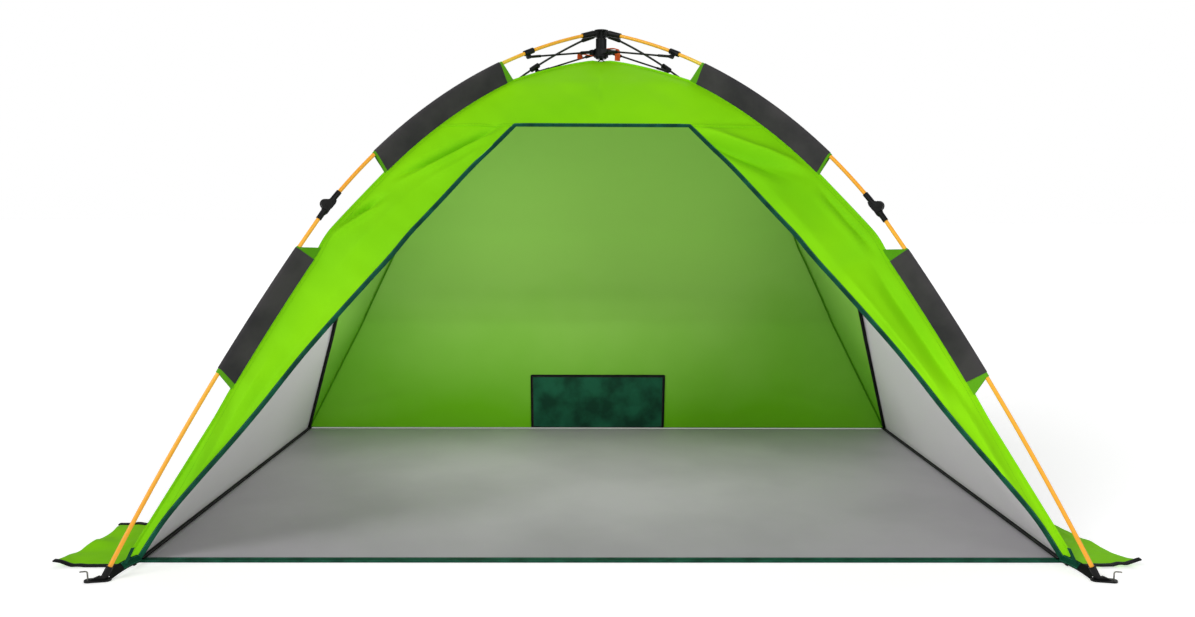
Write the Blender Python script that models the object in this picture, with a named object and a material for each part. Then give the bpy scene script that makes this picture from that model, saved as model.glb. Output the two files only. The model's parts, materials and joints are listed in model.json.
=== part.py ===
"""A beach tent: a folding hub, four bowed poles with knee joints, and a green canopy over a grey floor.

X points right, Y into the tent, which opens towards -Y, and Z up. The origin lies on the ground, under the hub.
A shape that belongs to one pole is drawn in that pole's own upright plane: out from the hub, across, and up.
"""

import math

import bmesh
import bpy
from mathutils import Matrix, Vector

# Driving sizes, in metres
TENT_WIDTH = 2.10
TENT_DEPTH = 1.30
HUB_PIN_HEIGHT = 1.281
HUB_PIN_RADIUS = 0.0185
FOOT_SIDE_STEP = 0.018
FOOT_END_STEP = 0.102
FRONT_ROD_DIAMETER = 0.0095
REAR_ROD_DIAMETER = 0.0060
UPPER_SLEEVE_DEPTH = 0.052
LOWER_SLEEVE_DEPTH = 0.046
APEX_DROP = 0.075
OPENING_HEIGHT = 0.998
MESH_PANEL_HEIGHT = 0.885
CLOTH = 0.0015

# How the poles bow, and where their knees sit between the hub and the foot
UPPER_BEND = math.radians(36.0)
LOWER_BEND = math.radians(8.5)
KNEE_OUT_SHARE = 0.612
KNEE_UP_SHARE = 0.626

# Clearances
GAP = 0.0003
BORE_CLEARANCE = 0.0004
EDGE_TRIM = 0.0010
OVERRUN = 0.002
MERGE = 0.00001

ROUND = 12
FINE_ROUND = 24

# Hub
CAP_RADIUS = 0.0195
CAP_RISE = 0.0064
CAP_THICKNESS = 0.0036
CAP_CHAMFER = 0.0008
NECK_RADIUS = 0.0105
SHAFT_RADIUS = 0.0152
SHAFT_TOP_DROP = 0.0128
SHAFT_LENGTH = 0.0557
SHAFT_TIP_RADIUS = 0.0050
SHAFT_TIP_LENGTH = 0.0037
HUB_TONGUE = 0.0080
HUB_EAR = 0.0030
HUB_EAR_RADIUS = 0.0080
HUB_TONGUE_RADIUS = 0.0060
HUB_PIN = 0.0050

# Runner and struts
RUNNER_PIN_HEIGHT = 1.2305
RUNNER_PIN_RADIUS = 0.0245
RUNNER_RADIUS = 0.0200
RUNNER_HEIGHT = 0.0230
RUNNER_PIN_LIFT = 0.0140
STRUT_SHIFT = 0.0115
STRUT_DIAMETER = 0.0050
STRUT_EYE = 0.0040
STRUT_EYE_RADIUS = 0.0055
STRUT_PIN = 0.0040
STRUT_ROOT_RADIUS = 0.0044
STRUT_ROOT_START = 0.0075
STRUT_ROOT_END = 0.0370
STRUT_END_RADIUS = 0.0036
STRUT_END_LENGTH = 0.0400
RUNNER_EAR = 0.0027
RUNNER_EAR_RADIUS = 0.0066

# Fittings on the poles
SOCKET_START = 0.0095
SOCKET_END = 0.0480
SOCKET_FLOOR = 0.0175
SOCKET_WALL = 0.0022
SOCKET_ROOT_RADIUS = 0.0085
BRACKET_WAY = 0.2310
BRACKET_LENGTH = 0.0300
BRACKET_RADIUS = 0.0075
BRACKET_EAR_DROP = 0.0120
BRACKET_EAR_INSIDE = 0.0030
KNEE_OFFSET = 0.0060
KNEE_EAR_RADIUS = 0.0125
KNEE_TONGUE = 0.0060
KNEE_TONGUE_RADIUS = 0.0118
KNEE_EAR = 0.0033
KNEE_PIN = 0.0044
KNEE_PIN_HEAD = 0.0072
KNEE_CUP_START = 0.0132
KNEE_UPPER_CUP_END = 0.0440
KNEE_LOWER_CUP_END = 0.0390
KNEE_WEB_DEPTH = 0.0155
KNEE_WEB_END = 0.0235
KNEE_SHOULDER_TURN = math.radians(12.0)
KNEE_BULGE_SHARES = ((0.94, 0.30), (0.76, 0.62), (0.42, 0.88), (0.0, 1.0))
KNEE_CUP_FLOOR = 0.0030
KNEE_CUP_RADIUS = 0.0068

# Feet and pegs
FERRULE_LENGTH = 0.0320
FERRULE_FLOOR = 0.0100
FERRULE_RADIUS = 0.0075
FOOT_PLATE = 0.0040
FOOT_PLATE_WIDTH = 0.0200
FOOT_INNER_REACH = 0.0180
FOOT_OUTER_REACH = 0.0370
FOOT_TURN = math.radians(24.0)
FOOT_RIB = 0.0080
FOOT_RIB_HEIGHT = 0.0110
EYELET_REACH = 0.0290
EYELET_DIAMETER = 0.0044
STRAP_SLOT_REACH = 0.0130
STRAP_SLOT_WIDTH = 0.0130
STRAP_SLOT_GAP = 0.0030
PEG_DIAMETER = 0.0034
PEG_HEIGHT = 0.0240
PEG_BEND = 0.0040
PEG_HOOK = 0.0150

# Sleeves, as ways along the pole from its upper end
UPPER_SLEEVE_START = 0.330
UPPER_SLEEVE_END = 0.752
LOWER_SLEEVE_START = 0.124
LOWER_SLEEVE_END = 0.462
SLEEVE_CLOTH = 0.0014
SLEEVE_TIP = 0.0009
SLEEVE_SEAM = 0.0080
BARE_RIDGE_DEPTH = 0.0400

# The ridge between the peak and the first sleeve: an even curve drawn towards a point, and its points' shares
RIDGE_PULL_OUT_SHARE = 0.45
RIDGE_PULL_DOWN_SHARE = 0.25
RIDGE_TOP_SHARES = (0.06, 0.2, 0.4, 0.6, 0.8)

# Where the columns of the walls' patches stand across each wall
REAR_COLUMN_SHARES = (-1.0, -0.5, 0.0, 0.5, 1.0)
SIDE_COLUMN_SHARES = (0.0, 0.35, 0.7, 1.0)

# Cloth pieces beside the walls
POCKET_WIDTH = 0.480
POCKET_HEIGHT = 0.200
POCKET_CLOTH = 0.0020
FLAP_WIDTH = 0.165
FLAP_TAPER = 0.020
FLAP_FRONT_STEP = 0.028
FLAP_LENGTH = 0.286
FLAP_CLOTH = 0.0020
FLAP_WAVE = 0.0120
TAB_WIDTH = 0.0130
TAB_CLOTH = 0.0020
RIGHT_TAB_DROP = 0.0011
RIGHT_TAB_REACH = 0.0370
RIGHT_TAB_SLOPE = 0.0040
RIGHT_TAB_HANG = 0.0270
LEFT_TAB_DROP = 0.0190
LEFT_TAB_REACH = 0.0480
LEFT_TAB_SLOPE = 0.0010
LEFT_TAB_HANG = 0.0060
TAB_ANGLE = math.radians(-24.0)

# The opening's edge, from the floor up: the share of its height, and the share of the way out to the ridge there
OPENING_EDGE_SHARES = (
    (0.000, 0.991), (0.094, 0.980), (0.181, 0.952), (0.264, 0.919), (0.359, 0.883), (0.461, 0.847),
    (0.559, 0.800), (0.660, 0.742), (0.726, 0.698), (0.873, 0.619), (0.957, 0.555), (1.000, 0.524),
)

half_width = TENT_WIDTH / 2
half_depth = TENT_DEPTH / 2
foot_side = half_width + FOOT_SIDE_STEP
foot_end = half_depth + FOOT_END_STEP
pole_angle = math.atan2(foot_end, foot_side)
foot_radius = math.hypot(foot_side, foot_end)
floor_top = CLOTH + GAP
apex_height = HUB_PIN_HEIGHT - APEX_DROP
POLE_TURNS = {
    "front_left": math.pi + pole_angle,
    "front_right": -pole_angle,
    "rear_left": math.pi - pole_angle,
    "rear_right": pole_angle,
}
ROD_RADIUS = {"front": FRONT_ROD_DIAMETER / 2, "rear": REAR_ROD_DIAMETER / 2}


# Curves in the pole's plane
def outward(heading):
    """The direction square to a heading, on the outer side of the pole."""
    return Vector((-math.sin(heading), math.cos(heading)))


def along(heading):
    return Vector((math.cos(heading), math.sin(heading)))


class Bow:
    """A rod bowed to an even arc between two points (out, up) of the pole's plane."""

    def __init__(self, start, end, bend):
        chord = end - start
        self.radius = chord.length / (2 * math.sin(bend / 2))
        self.length = self.radius * bend
        self.first = math.atan2(chord.y, chord.x) + bend / 2
        self.centre = start - self.radius * outward(self.first)

    def heading(self, way):
        return self.first - way / self.radius

    def point(self, way, rise=0.0):
        """The point that lies at a way along the rod, raised by rise on its outer side."""
        return self.centre + (self.radius + rise) * outward(self.heading(way))


hub_pin = Vector((HUB_PIN_RADIUS, HUB_PIN_HEIGHT))
foot = Vector((foot_radius, 0.0))
knee = Vector((foot_radius * KNEE_OUT_SHARE, HUB_PIN_HEIGHT * KNEE_UP_SHARE))
upper_chord = knee - hub_pin
lower_chord = foot - knee
upper_knee_heading = math.atan2(upper_chord.y, upper_chord.x) - UPPER_BEND / 2
lower_knee_heading = math.atan2(lower_chord.y, lower_chord.x) + LOWER_BEND / 2
upper_bow = Bow(hub_pin, knee - KNEE_OFFSET * outward(upper_knee_heading), UPPER_BEND)
lower_bow = Bow(knee - KNEE_OFFSET * outward(lower_knee_heading), foot, LOWER_BEND)


def spaced(first, last, steps):
    return [first + (last - first) * step / steps for step in range(steps + 1)]


UPPER_SLEEVE_WAYS = spaced(UPPER_SLEEVE_START, UPPER_SLEEVE_END, 6)
LOWER_SLEEVE_WAYS = spaced(LOWER_SLEEVE_START, LOWER_SLEEVE_END, 4)


# Solids from rings and outlines
def new_mesh(name, vertices, faces):
    mesh = bpy.data.meshes.new(name)
    mesh.from_pydata(vertices, [], faces)
    shape = bmesh.new()
    shape.from_mesh(mesh)
    bmesh.ops.recalc_face_normals(shape, faces=shape.faces)
    shape.to_mesh(mesh)
    shape.free()
    return mesh


def skin(name, rings, closed=False):
    """A solid whose skin joins rings of as many points each, with flat ends or, if closed, back to the first ring."""
    size = len(rings[0])
    vertices = [point for ring in rings for point in ring]
    faces = []
    count = len(rings)
    for number in range(count if closed else count - 1):
        here = number * size
        there = (number + 1) % count * size
        for corner in range(size):
            after = (corner + 1) % size
            faces.append((here + corner, here + after, there + after, there + corner))
    if not closed:
        faces.append(tuple(reversed(range(size))))
        faces.append(tuple(range((count - 1) * size, count * size)))
    return new_mesh(name, vertices, faces)


def ring(centre, side, up, radius, sides=ROUND):
    turns = [2 * math.pi * number / sides for number in range(sides)]
    return [centre + radius * (math.cos(turn) * side + math.sin(turn) * up) for turn in turns]


ACROSS = Vector((0.0, -1.0, 0.0))
UP = Vector((0.0, 0.0, 1.0))
OUT = Vector((1.0, 0.0, 0.0))


def upright(point, across=0.0):
    """A point (out, up) of the pole's plane, shifted across it."""
    return point.x * OUT + across * ACROSS + point.y * UP


def bowed_tube(name, bow, profile, closed=False):
    """A round solid along a bow: the profile lists (way, radius)."""
    rings = []
    for way, radius in profile:
        normal = upright(outward(bow.heading(way)))
        rings.append(ring(upright(bow.point(way)), normal, ACROSS, radius))
    return skin(name, rings, closed)


def straight_tube(name, start, direction, side, profile, closed=False, sides=ROUND):
    """A round solid along a straight line: the profile lists (distance from start, radius)."""
    other = direction.cross(side)
    rings = [ring(start + reach * direction, side, other, radius, sides) for reach, radius in profile]
    return skin(name, rings, closed)


def plate(name, outline, origin, heading, low, high):
    """A flat solid in the pole's plane: outline points are (along, outward) from origin, and it spans low to high."""
    flat = [origin + x * along(heading) + y * outward(heading) for x, y in outline]
    return skin(name, [[upright(point, low) for point in flat], [upright(point, high) for point in flat]])


def arc_points(radius, first, last, steps):
    turns = [first + (last - first) * step / steps for step in range(steps + 1)]
    return [(radius * math.cos(turn), radius * math.sin(turn)) for turn in turns]


def lug(radius, reach, low, high):
    """An outline that is round about its origin and runs on to reach, between low and high."""
    return arc_points(radius, math.pi / 2, math.pi * 3 / 2, 8) + [(reach, low), (reach, high)]


def cross_pin(name, centre, radius, low, high, sides=ROUND):
    return straight_tube(name, upright(centre, low), ACROSS, OUT, [(0.0, radius), (high - low, radius)], sides=sides)


def joined(name, solids, cuts=()):
    """One mesh from several solids, less the cuts."""
    base = bpy.data.objects.new(name, solids[0])
    bpy.context.scene.collection.objects.link(base)
    helpers = []
    for operation, group in (("UNION", solids[1:]), ("DIFFERENCE", cuts)):
        for mesh in group:
            helper = bpy.data.objects.new(name + "_tool", mesh)
            bpy.context.scene.collection.objects.link(helper)
            helpers.append(helper)
            step = base.modifiers.new(operation.lower(), "BOOLEAN")
            step.operation = operation
            step.solver = "EXACT"
            step.object = helper
    bpy.context.view_layer.update()
    whole = bpy.data.meshes.new_from_object(base.evaluated_get(bpy.context.evaluated_depsgraph_get()))
    whole.name = name
    for thing in [base, *helpers]:
        bpy.data.objects.remove(thing)
    return whole


# Placing
def material(name, colour, roughness, metallic=0.0):
    finish = bpy.data.materials.new(name)
    finish.use_nodes = True
    shader = finish.node_tree.nodes["Principled BSDF"]
    shader.inputs["Base Color"].default_value = (*colour, 1.0)
    shader.inputs["Roughness"].default_value = roughness
    shader.inputs["Metallic"].default_value = metallic
    return finish


def place(name, mesh, finish, pivot=Vector((0.0, 0.0, 0.0)), turn=0.0, smooth=True):
    """Put a mesh into the scene, turned about the hub's axis, with its origin at the pivot that it moves about."""
    mesh = mesh.copy()
    mesh.name = name
    mesh.transform(Matrix.Translation(-pivot))
    thing = bpy.data.objects.new(name, mesh)
    thing.location = Matrix.Rotation(turn, 3, "Z") @ pivot
    thing.rotation_euler = (0.0, 0.0, turn)
    thing.data.materials.clear()
    thing.data.materials.append(finish)
    if smooth:
        thing.data.shade_smooth()
        thing.data.set_sharp_from_angle(angle=math.radians(35.0))
    bpy.context.scene.collection.objects.link(thing)
    return thing


# Hub
def crown_mesh():
    """The upper hub: a cap on a neck, with four pairs of ears, each with its pin."""
    cap_base = HUB_PIN_HEIGHT + CAP_RISE
    cap_top = cap_base + CAP_THICKNESS
    neck_base = HUB_PIN_HEIGHT - SHAFT_TOP_DROP + GAP
    cap = straight_tube(
        "cap", UP * cap_base, UP, OUT,
        [(0.0, CAP_RADIUS), (CAP_THICKNESS - CAP_CHAMFER, CAP_RADIUS), (CAP_THICKNESS, CAP_RADIUS - CAP_CHAMFER)],
        sides=FINE_ROUND,
    )
    neck = straight_tube(
        "neck", UP * neck_base, UP, OUT, [(0.0, NECK_RADIUS), (cap_top - CAP_CHAMFER - neck_base, NECK_RADIUS)],
        sides=FINE_ROUND,
    )
    inner = -(HUB_PIN_RADIUS - NECK_RADIUS) - OVERRUN / 2
    top = CAP_RISE + OVERRUN / 2
    outline = [(inner, top), (inner, -HUB_EAR_RADIUS)]
    outline += arc_points(HUB_EAR_RADIUS, -math.pi / 2, 0.0, 5) + [(HUB_EAR_RADIUS, top)]
    near = HUB_TONGUE / 2 + GAP
    far = near + HUB_EAR
    parts = []
    for turn in POLE_TURNS.values():
        ears = [
            plate("ear", outline, hub_pin, 0.0, near, far),
            plate("ear", outline, hub_pin, 0.0, -far, -near),
            cross_pin("pin", hub_pin, HUB_PIN / 2, -far - HUB_EAR / 4, far + HUB_EAR / 4),
        ]
        for mesh in ears:
            mesh.transform(Matrix.Rotation(turn, 4, "Z"))
        parts += ears
    return joined("crown", [cap, neck, *parts])


def shaft_mesh():
    """The post below the crown, with a tip that holds the canopy's peak."""
    top = HUB_PIN_HEIGHT - SHAFT_TOP_DROP
    profile = [
        (0.0, SHAFT_RADIUS), (SHAFT_LENGTH, SHAFT_RADIUS), (SHAFT_LENGTH, SHAFT_TIP_RADIUS),
        (SHAFT_LENGTH + SHAFT_TIP_LENGTH, SHAFT_TIP_RADIUS),
    ]
    return straight_tube("shaft", UP * top, -UP, OUT, profile, sides=FINE_ROUND)


def runner_mesh():
    """The lower hub: a collar on the shaft, with four pairs of ears beside the poles' planes."""
    base = RUNNER_PIN_HEIGHT - RUNNER_PIN_LIFT
    bore = SHAFT_RADIUS + BORE_CLEARANCE
    collar = straight_tube(
        "collar", UP * base, UP, OUT, [(0.0, RUNNER_RADIUS), (RUNNER_HEIGHT, RUNNER_RADIUS)], sides=FINE_ROUND
    )
    pin = Vector((RUNNER_PIN_RADIUS, RUNNER_PIN_HEIGHT))
    near = STRUT_EYE / 2 + GAP
    far = near + RUNNER_EAR
    outline = [(-x, y) for x, y in lug(RUNNER_EAR_RADIUS, SHAFT_RADIUS, -RUNNER_EAR_RADIUS, RUNNER_EAR_RADIUS)]
    parts = []
    for turn in POLE_TURNS.values():
        ears = [
            plate("ear", outline, pin, 0.0, STRUT_SHIFT + near, STRUT_SHIFT + far),
            plate("ear", outline, pin, 0.0, STRUT_SHIFT - far, STRUT_SHIFT - near),
            cross_pin("pin", pin, STRUT_PIN / 2, STRUT_SHIFT - far + RUNNER_EAR / 2, STRUT_SHIFT + far - RUNNER_EAR / 2),
        ]
        for mesh in ears:
            mesh.transform(Matrix.Rotation(turn, 4, "Z"))
        parts += ears
    hole = straight_tube(
        "hole", UP * (base - OVERRUN), UP, OUT, [(0.0, bore), (RUNNER_HEIGHT + 2 * OVERRUN, bore)], sides=FINE_ROUND
    )
    return joined("runner", [collar, *parts], [hole])


def tab_mesh(drop, reach, slope, hang):
    """A webbing pull tab that leaves the runner below its top, slopes outwards, bends over and hangs."""
    start = Vector((RUNNER_RADIUS + GAP, RUNNER_PIN_HEIGHT - RUNNER_PIN_LIFT + RUNNER_HEIGHT - drop))
    turn_radius = 2 * TAB_CLOTH
    path = [start, start + Vector((reach - turn_radius, -slope))]
    bend_centre = path[-1] - Vector((0.0, turn_radius))
    for step in range(1, 4):
        path.append(bend_centre + turn_radius * outward(-math.pi / 2 * step / 3))
    path.append(path[-1] - Vector((0.0, hang)))
    rings = []
    for number, point in enumerate(path):
        step = path[min(number + 1, len(path) - 1)] - path[max(number - 1, 0)]
        normal = outward(math.atan2(step.y, step.x)) * TAB_CLOTH / 2
        rings.append(
            [
                upright(point + normal, -TAB_WIDTH / 2), upright(point + normal, TAB_WIDTH / 2),
                upright(point - normal, TAB_WIDTH / 2), upright(point - normal, -TAB_WIDTH / 2),
            ]
        )
    return skin("tab", rings)


# Pole fittings
def socket_mesh(rod):
    """The cup that holds a pole's upper end, with the tongue that turns on the crown's pin."""
    middle = (SOCKET_FLOOR + SOCKET_END) / 2
    heading = upper_bow.heading(middle)
    outer = rod + SOCKET_WALL
    bore = rod + BORE_CLEARANCE
    start = upper_bow.point(middle)
    profile = [
        (SOCKET_START, SOCKET_ROOT_RADIUS), (SOCKET_END, outer), (SOCKET_END, bore), (SOCKET_FLOOR, bore),
    ]
    direction = upright(along(heading))
    cup = straight_tube(
        "cup", upright(start) - middle * direction, direction, upright(outward(heading)), profile
    )
    tongue = plate(
        "tongue", lug(HUB_TONGUE_RADIUS, SOCKET_FLOOR - OVERRUN / 2, -HUB_TONGUE_RADIUS, HUB_TONGUE_RADIUS),
        hub_pin, heading, -HUB_TONGUE / 2, HUB_TONGUE / 2,
    )
    hole = cross_pin("hole", hub_pin, HUB_PIN / 2 + GAP, -HUB_TONGUE, HUB_TONGUE)
    return joined("pole_socket", [cup, tongue], [hole])


def rod_ways(bow, first, last, middle_ways, extra_ways):
    """The ways at which a rod has rings: its ends, the sleeve's rings and the fittings' ends."""
    ways = [way for way in [*middle_ways, *extra_ways] if first < way < last]
    return [first, *sorted(ways), last]


def rod_mesh(name, bow, ways, radius):
    return bowed_tube(name, bow, [(way, radius) for way in ways])


def bracket_point():
    """The pivot of a strut on its pole's bracket."""
    return upper_bow.point(BRACKET_WAY, -BRACKET_EAR_DROP)


def bracket_mesh(rod):
    """The clamp on a pole, with an ear at its side for the strut."""
    heading = upper_bow.heading(BRACKET_WAY)
    direction = upright(along(heading))
    start = upright(upper_bow.point(BRACKET_WAY)) - BRACKET_LENGTH / 2 * direction
    side = upright(outward(heading))
    clamp = straight_tube("clamp", start, direction, side, [(0.0, BRACKET_RADIUS), (BRACKET_LENGTH, BRACKET_RADIUS)])
    pivot = bracket_point()
    ear = plate(
        "ear", lug(STRUT_EYE_RADIUS, BRACKET_EAR_DROP, -STRUT_EYE_RADIUS, STRUT_EYE_RADIUS),
        pivot, heading + math.pi / 2, BRACKET_EAR_INSIDE, BRACKET_RADIUS,
    )
    bore = rod + BORE_CLEARANCE
    hole = straight_tube(
        "hole", start - OVERRUN * direction, direction, side, [(0.0, bore), (BRACKET_LENGTH + 2 * OVERRUN, bore)]
    )
    return joined("bracket", [clamp, ear], [hole])


def strut_mesh():
    """The rod between the runner and a bracket: an eye at the runner, and a boss that lies on the bracket's ear."""
    root = Vector((RUNNER_PIN_RADIUS, RUNNER_PIN_HEIGHT))
    tip = bracket_point()
    reach = tip - root
    length = reach.length
    heading = math.atan2(reach.y, reach.x)
    direction = upright(along(heading))
    side = upright(outward(heading))
    start = upright(root, STRUT_SHIFT)
    rod = STRUT_DIAMETER / 2
    inner_profile = [
        (STRUT_ROOT_START, STRUT_ROOT_RADIUS), (STRUT_ROOT_END, STRUT_ROOT_RADIUS), (STRUT_ROOT_END, rod),
        (length - STRUT_END_LENGTH, rod), (length - STRUT_END_LENGTH, STRUT_END_RADIUS),
        (length - STRUT_EYE_RADIUS, STRUT_END_RADIUS),
    ]
    bar = straight_tube("bar", start, direction, side, inner_profile)
    eye_low = STRUT_SHIFT - STRUT_EYE / 2
    eye_high = STRUT_SHIFT + STRUT_EYE / 2
    boss_low = BRACKET_RADIUS + GAP
    web = STRUT_ROOT_START + OVERRUN
    eye = plate("eye", lug(STRUT_EYE_RADIUS, web, -rod, rod), root, heading, eye_low, eye_high)
    boss = plate("boss", lug(STRUT_EYE_RADIUS, web, -rod, rod), tip, heading + math.pi, boss_low, eye_high)
    rivet = cross_pin("rivet", tip, STRUT_PIN, eye_high - OVERRUN, eye_high + OVERRUN / 2)
    hole = cross_pin("hole", root, STRUT_PIN / 2 + GAP, eye_low - OVERRUN, eye_high + OVERRUN)
    return joined("strut", [bar, eye, boss, rivet], [hole])


def knee_cup(bow, near, far, floor, rod):
    """A cup about a rod's end between near and far ways, and its bore, which is open at far and ends at floor."""
    middle = (near + far) / 2
    heading = bow.heading(middle)
    direction = upright(along(heading))
    side = upright(outward(heading))
    start = upright(bow.point(middle)) - middle * direction
    bore = rod + BORE_CLEARANCE
    beyond = far + math.copysign(OVERRUN, far - near)
    cup = straight_tube("cup", start, direction, side, [(near, KNEE_CUP_RADIUS), (far, KNEE_CUP_RADIUS)])
    return cup, straight_tube("bore", start, direction, side, [(floor, bore), (beyond, bore)])


def knee_lug(radius, web, high):
    """The outline of a knee's ear or tongue, which runs to the cup and is deeper on the tent's side."""
    shares = KNEE_BULGE_SHARES
    return arc_points(radius, KNEE_SHOULDER_TURN, math.pi, 8) + [
        *((-radius * along_share, -KNEE_WEB_DEPTH * deep_share) for along_share, deep_share in shares),
        (web, -KNEE_WEB_DEPTH), (KNEE_WEB_END, -KNEE_OFFSET - KNEE_CUP_RADIUS + GAP), (web, high),
    ]


def knee_upper_mesh(rod):
    """The upper half of a knee: a cup, two ears and the pin."""
    length = upper_bow.length
    middle = length - (KNEE_CUP_START + KNEE_UPPER_CUP_END) / 2
    heading = upper_bow.heading(middle)
    cup, bore = knee_cup(
        upper_bow, length - KNEE_CUP_START, length - KNEE_UPPER_CUP_END,
        length - KNEE_CUP_START - KNEE_CUP_FLOOR, rod,
    )
    near = KNEE_TONGUE / 2 + GAP
    far = near + KNEE_EAR
    web = KNEE_CUP_START + KNEE_CUP_FLOOR
    high = KNEE_CUP_RADIUS - KNEE_OFFSET
    outline = knee_lug(KNEE_EAR_RADIUS, web, high)
    outline = [(x, -y) for x, y in outline]
    parts = [
        plate("ear", outline, knee, heading + math.pi, near, far),
        plate("ear", outline, knee, heading + math.pi, -far, -near),
        cross_pin("pin", knee, KNEE_PIN / 2, -far, far),
        cross_pin("head", knee, KNEE_PIN_HEAD / 2, far - GAP, far + GAP * 3),
        cross_pin("head", knee, KNEE_PIN_HEAD / 2, -far - GAP * 3, -far + GAP),
    ]
    return joined("knee_upper", [cup, *parts], [bore])


def knee_lower_mesh(rod):
    """The lower half of a knee: a cup and the tongue between the upper half's ears."""
    middle = (KNEE_CUP_START + KNEE_LOWER_CUP_END) / 2
    heading = lower_bow.heading(middle)
    cup, bore = knee_cup(lower_bow, KNEE_CUP_START, KNEE_LOWER_CUP_END, KNEE_CUP_START + KNEE_CUP_FLOOR, rod)
    web = KNEE_CUP_START + KNEE_CUP_FLOOR
    high = KNEE_CUP_RADIUS - KNEE_OFFSET
    tongue = plate(
        "tongue", knee_lug(KNEE_TONGUE_RADIUS, web, high), knee, heading, -KNEE_TONGUE / 2, KNEE_TONGUE / 2
    )
    hole = cross_pin("hole", knee, KNEE_PIN / 2 + GAP, -KNEE_TONGUE, KNEE_TONGUE)
    return joined("knee_lower", [cup, tongue], [bore, hole])


def stadium(start, end, half):
    """A long outline with round ends, as (out, across) points."""
    points = [(end + x, y) for x, y in arc_points(half, -math.pi / 2, math.pi / 2, 6)]
    return points + [(start + x, y) for x, y in arc_points(half, math.pi / 2, math.pi * 3 / 2, 6)]


def flat_solid(name, outline, low, high):
    return skin(name, [[Vector((x, y, low)) for x, y in outline], [Vector((x, y, high)) for x, y in outline]])


def from_foot(mesh, turn):
    """A mesh drawn about the foot's point, turned and moved there."""
    mesh.transform(Matrix.Translation(OUT * foot_radius) @ Matrix.Rotation(turn, 4, "Z"))
    return mesh


def foot_mesh(rod, turn):
    """The ferrule on a pole's lower end, on a ribbed bar with an eyelet for the peg and a slot for the strap."""
    length = lower_bow.length
    middle = length - FERRULE_LENGTH / 2
    heading = lower_bow.heading(middle)
    direction = upright(along(heading))
    bore = rod + BORE_CLEARANCE
    lowest = FERRULE_RADIUS * math.cos(heading) / -math.sin(heading) + FOOT_PLATE / 2
    profile = [
        (length - lowest, FERRULE_RADIUS), (length - FERRULE_LENGTH, FERRULE_RADIUS),
        (length - FERRULE_LENGTH, bore), (length - FERRULE_FLOOR, bore),
    ]
    ferrule = straight_tube(
        "ferrule", upright(lower_bow.point(middle)) - middle * direction, direction,
        upright(outward(heading)), profile,
    )
    half = FOOT_PLATE_WIDTH / 2
    base = flat_solid("base", stadium(half - FOOT_INNER_REACH, FOOT_OUTER_REACH - half, half), 0.0, FOOT_PLATE)
    rib_end = EYELET_REACH - EYELET_DIAMETER
    rib_outline = [
        (-FERRULE_RADIUS, FOOT_PLATE / 2), (rib_end, FOOT_PLATE / 2), (rib_end, FOOT_PLATE + GAP),
        (FERRULE_RADIUS, FOOT_RIB_HEIGHT), (-FERRULE_RADIUS, FOOT_RIB_HEIGHT / 2),
    ]
    rib = plate("rib", rib_outline, Vector((0.0, 0.0)), 0.0, -FOOT_RIB / 2, FOOT_RIB / 2)
    eyelet = straight_tube(
        "eyelet", OUT * EYELET_REACH - UP * OVERRUN, UP, OUT,
        [(0.0, EYELET_DIAMETER / 2), (FOOT_PLATE + 2 * OVERRUN, EYELET_DIAMETER / 2)],
    )
    slot_near = -STRAP_SLOT_REACH - STRAP_SLOT_GAP / 2
    slot_far = slot_near + STRAP_SLOT_GAP
    slot_half = STRAP_SLOT_WIDTH / 2
    slot = flat_solid(
        "slot",
        [(slot_near, -slot_half), (slot_far, -slot_half), (slot_far, slot_half), (slot_near, slot_half)],
        -OVERRUN, FOOT_PLATE + OVERRUN,
    )
    solids = [ferrule, from_foot(base, turn), from_foot(rib, turn)]
    return joined("foot", solids, [from_foot(eyelet, turn), from_foot(slot, turn)])


def peg_mesh(turn):
    """The part of a wire peg that stands out of the ground: its shaft and its hook."""
    reach = EYELET_REACH
    bend_top = GAP + PEG_HEIGHT - PEG_DIAMETER / 2
    path = [Vector((reach, GAP)), Vector((reach, bend_top - PEG_BEND))]
    centre = Vector((reach + PEG_BEND, bend_top - PEG_BEND))
    for step in range(1, 4):
        bend = math.pi / 2 * step / 3
        path.append(centre + PEG_BEND * Vector((-math.cos(bend), math.sin(bend))))
    path.append(Vector((reach + PEG_HOOK - PEG_DIAMETER / 2, bend_top)))
    path.append(path[-1] + Vector((PEG_DIAMETER / 2, -PEG_DIAMETER / 4)))
    rings = []
    for number, point in enumerate(path):
        if number in (0, len(path) - 1):
            step = path[min(number + 1, len(path) - 1)] - path[max(number - 1, 0)]
        else:
            step = (path[number + 1] - point).normalized() + (point - path[number - 1]).normalized()
        normal = outward(math.atan2(step.y, step.x))
        rings.append(ring(upright(point), upright(normal), ACROSS, PEG_DIAMETER / 2, 8))
    return from_foot(skin("peg", rings), turn)


def sleeve_mesh(bow, ways, rod, depth):
    """A cloth tunnel round the pole: round on the outside, and drawn to a seam at the canopy's ridge."""
    inner = rod + GAP * 2
    outer = inner + SLEEVE_CLOTH
    tip = depth - SLEEVE_TIP
    outer_shape = arc_points(outer, math.pi / 2, -math.pi / 2, 6) + [(-tip, -SLEEVE_CLOTH), (-tip, SLEEVE_CLOTH)]
    seam = tip - SLEEVE_SEAM
    inner_shape = arc_points(inner, math.pi / 2, -math.pi / 2, 6) + [(-seam, -GAP), (-seam, GAP)]

    def loops(shape):
        found = []
        for way in ways:
            point = bow.point(way)
            normal = outward(bow.heading(way))
            found.append([upright(point + rise * normal, across) for rise, across in shape])
        return found

    return skin("sleeve", loops(outer_shape) + loops(inner_shape)[::-1], closed=True)


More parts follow.
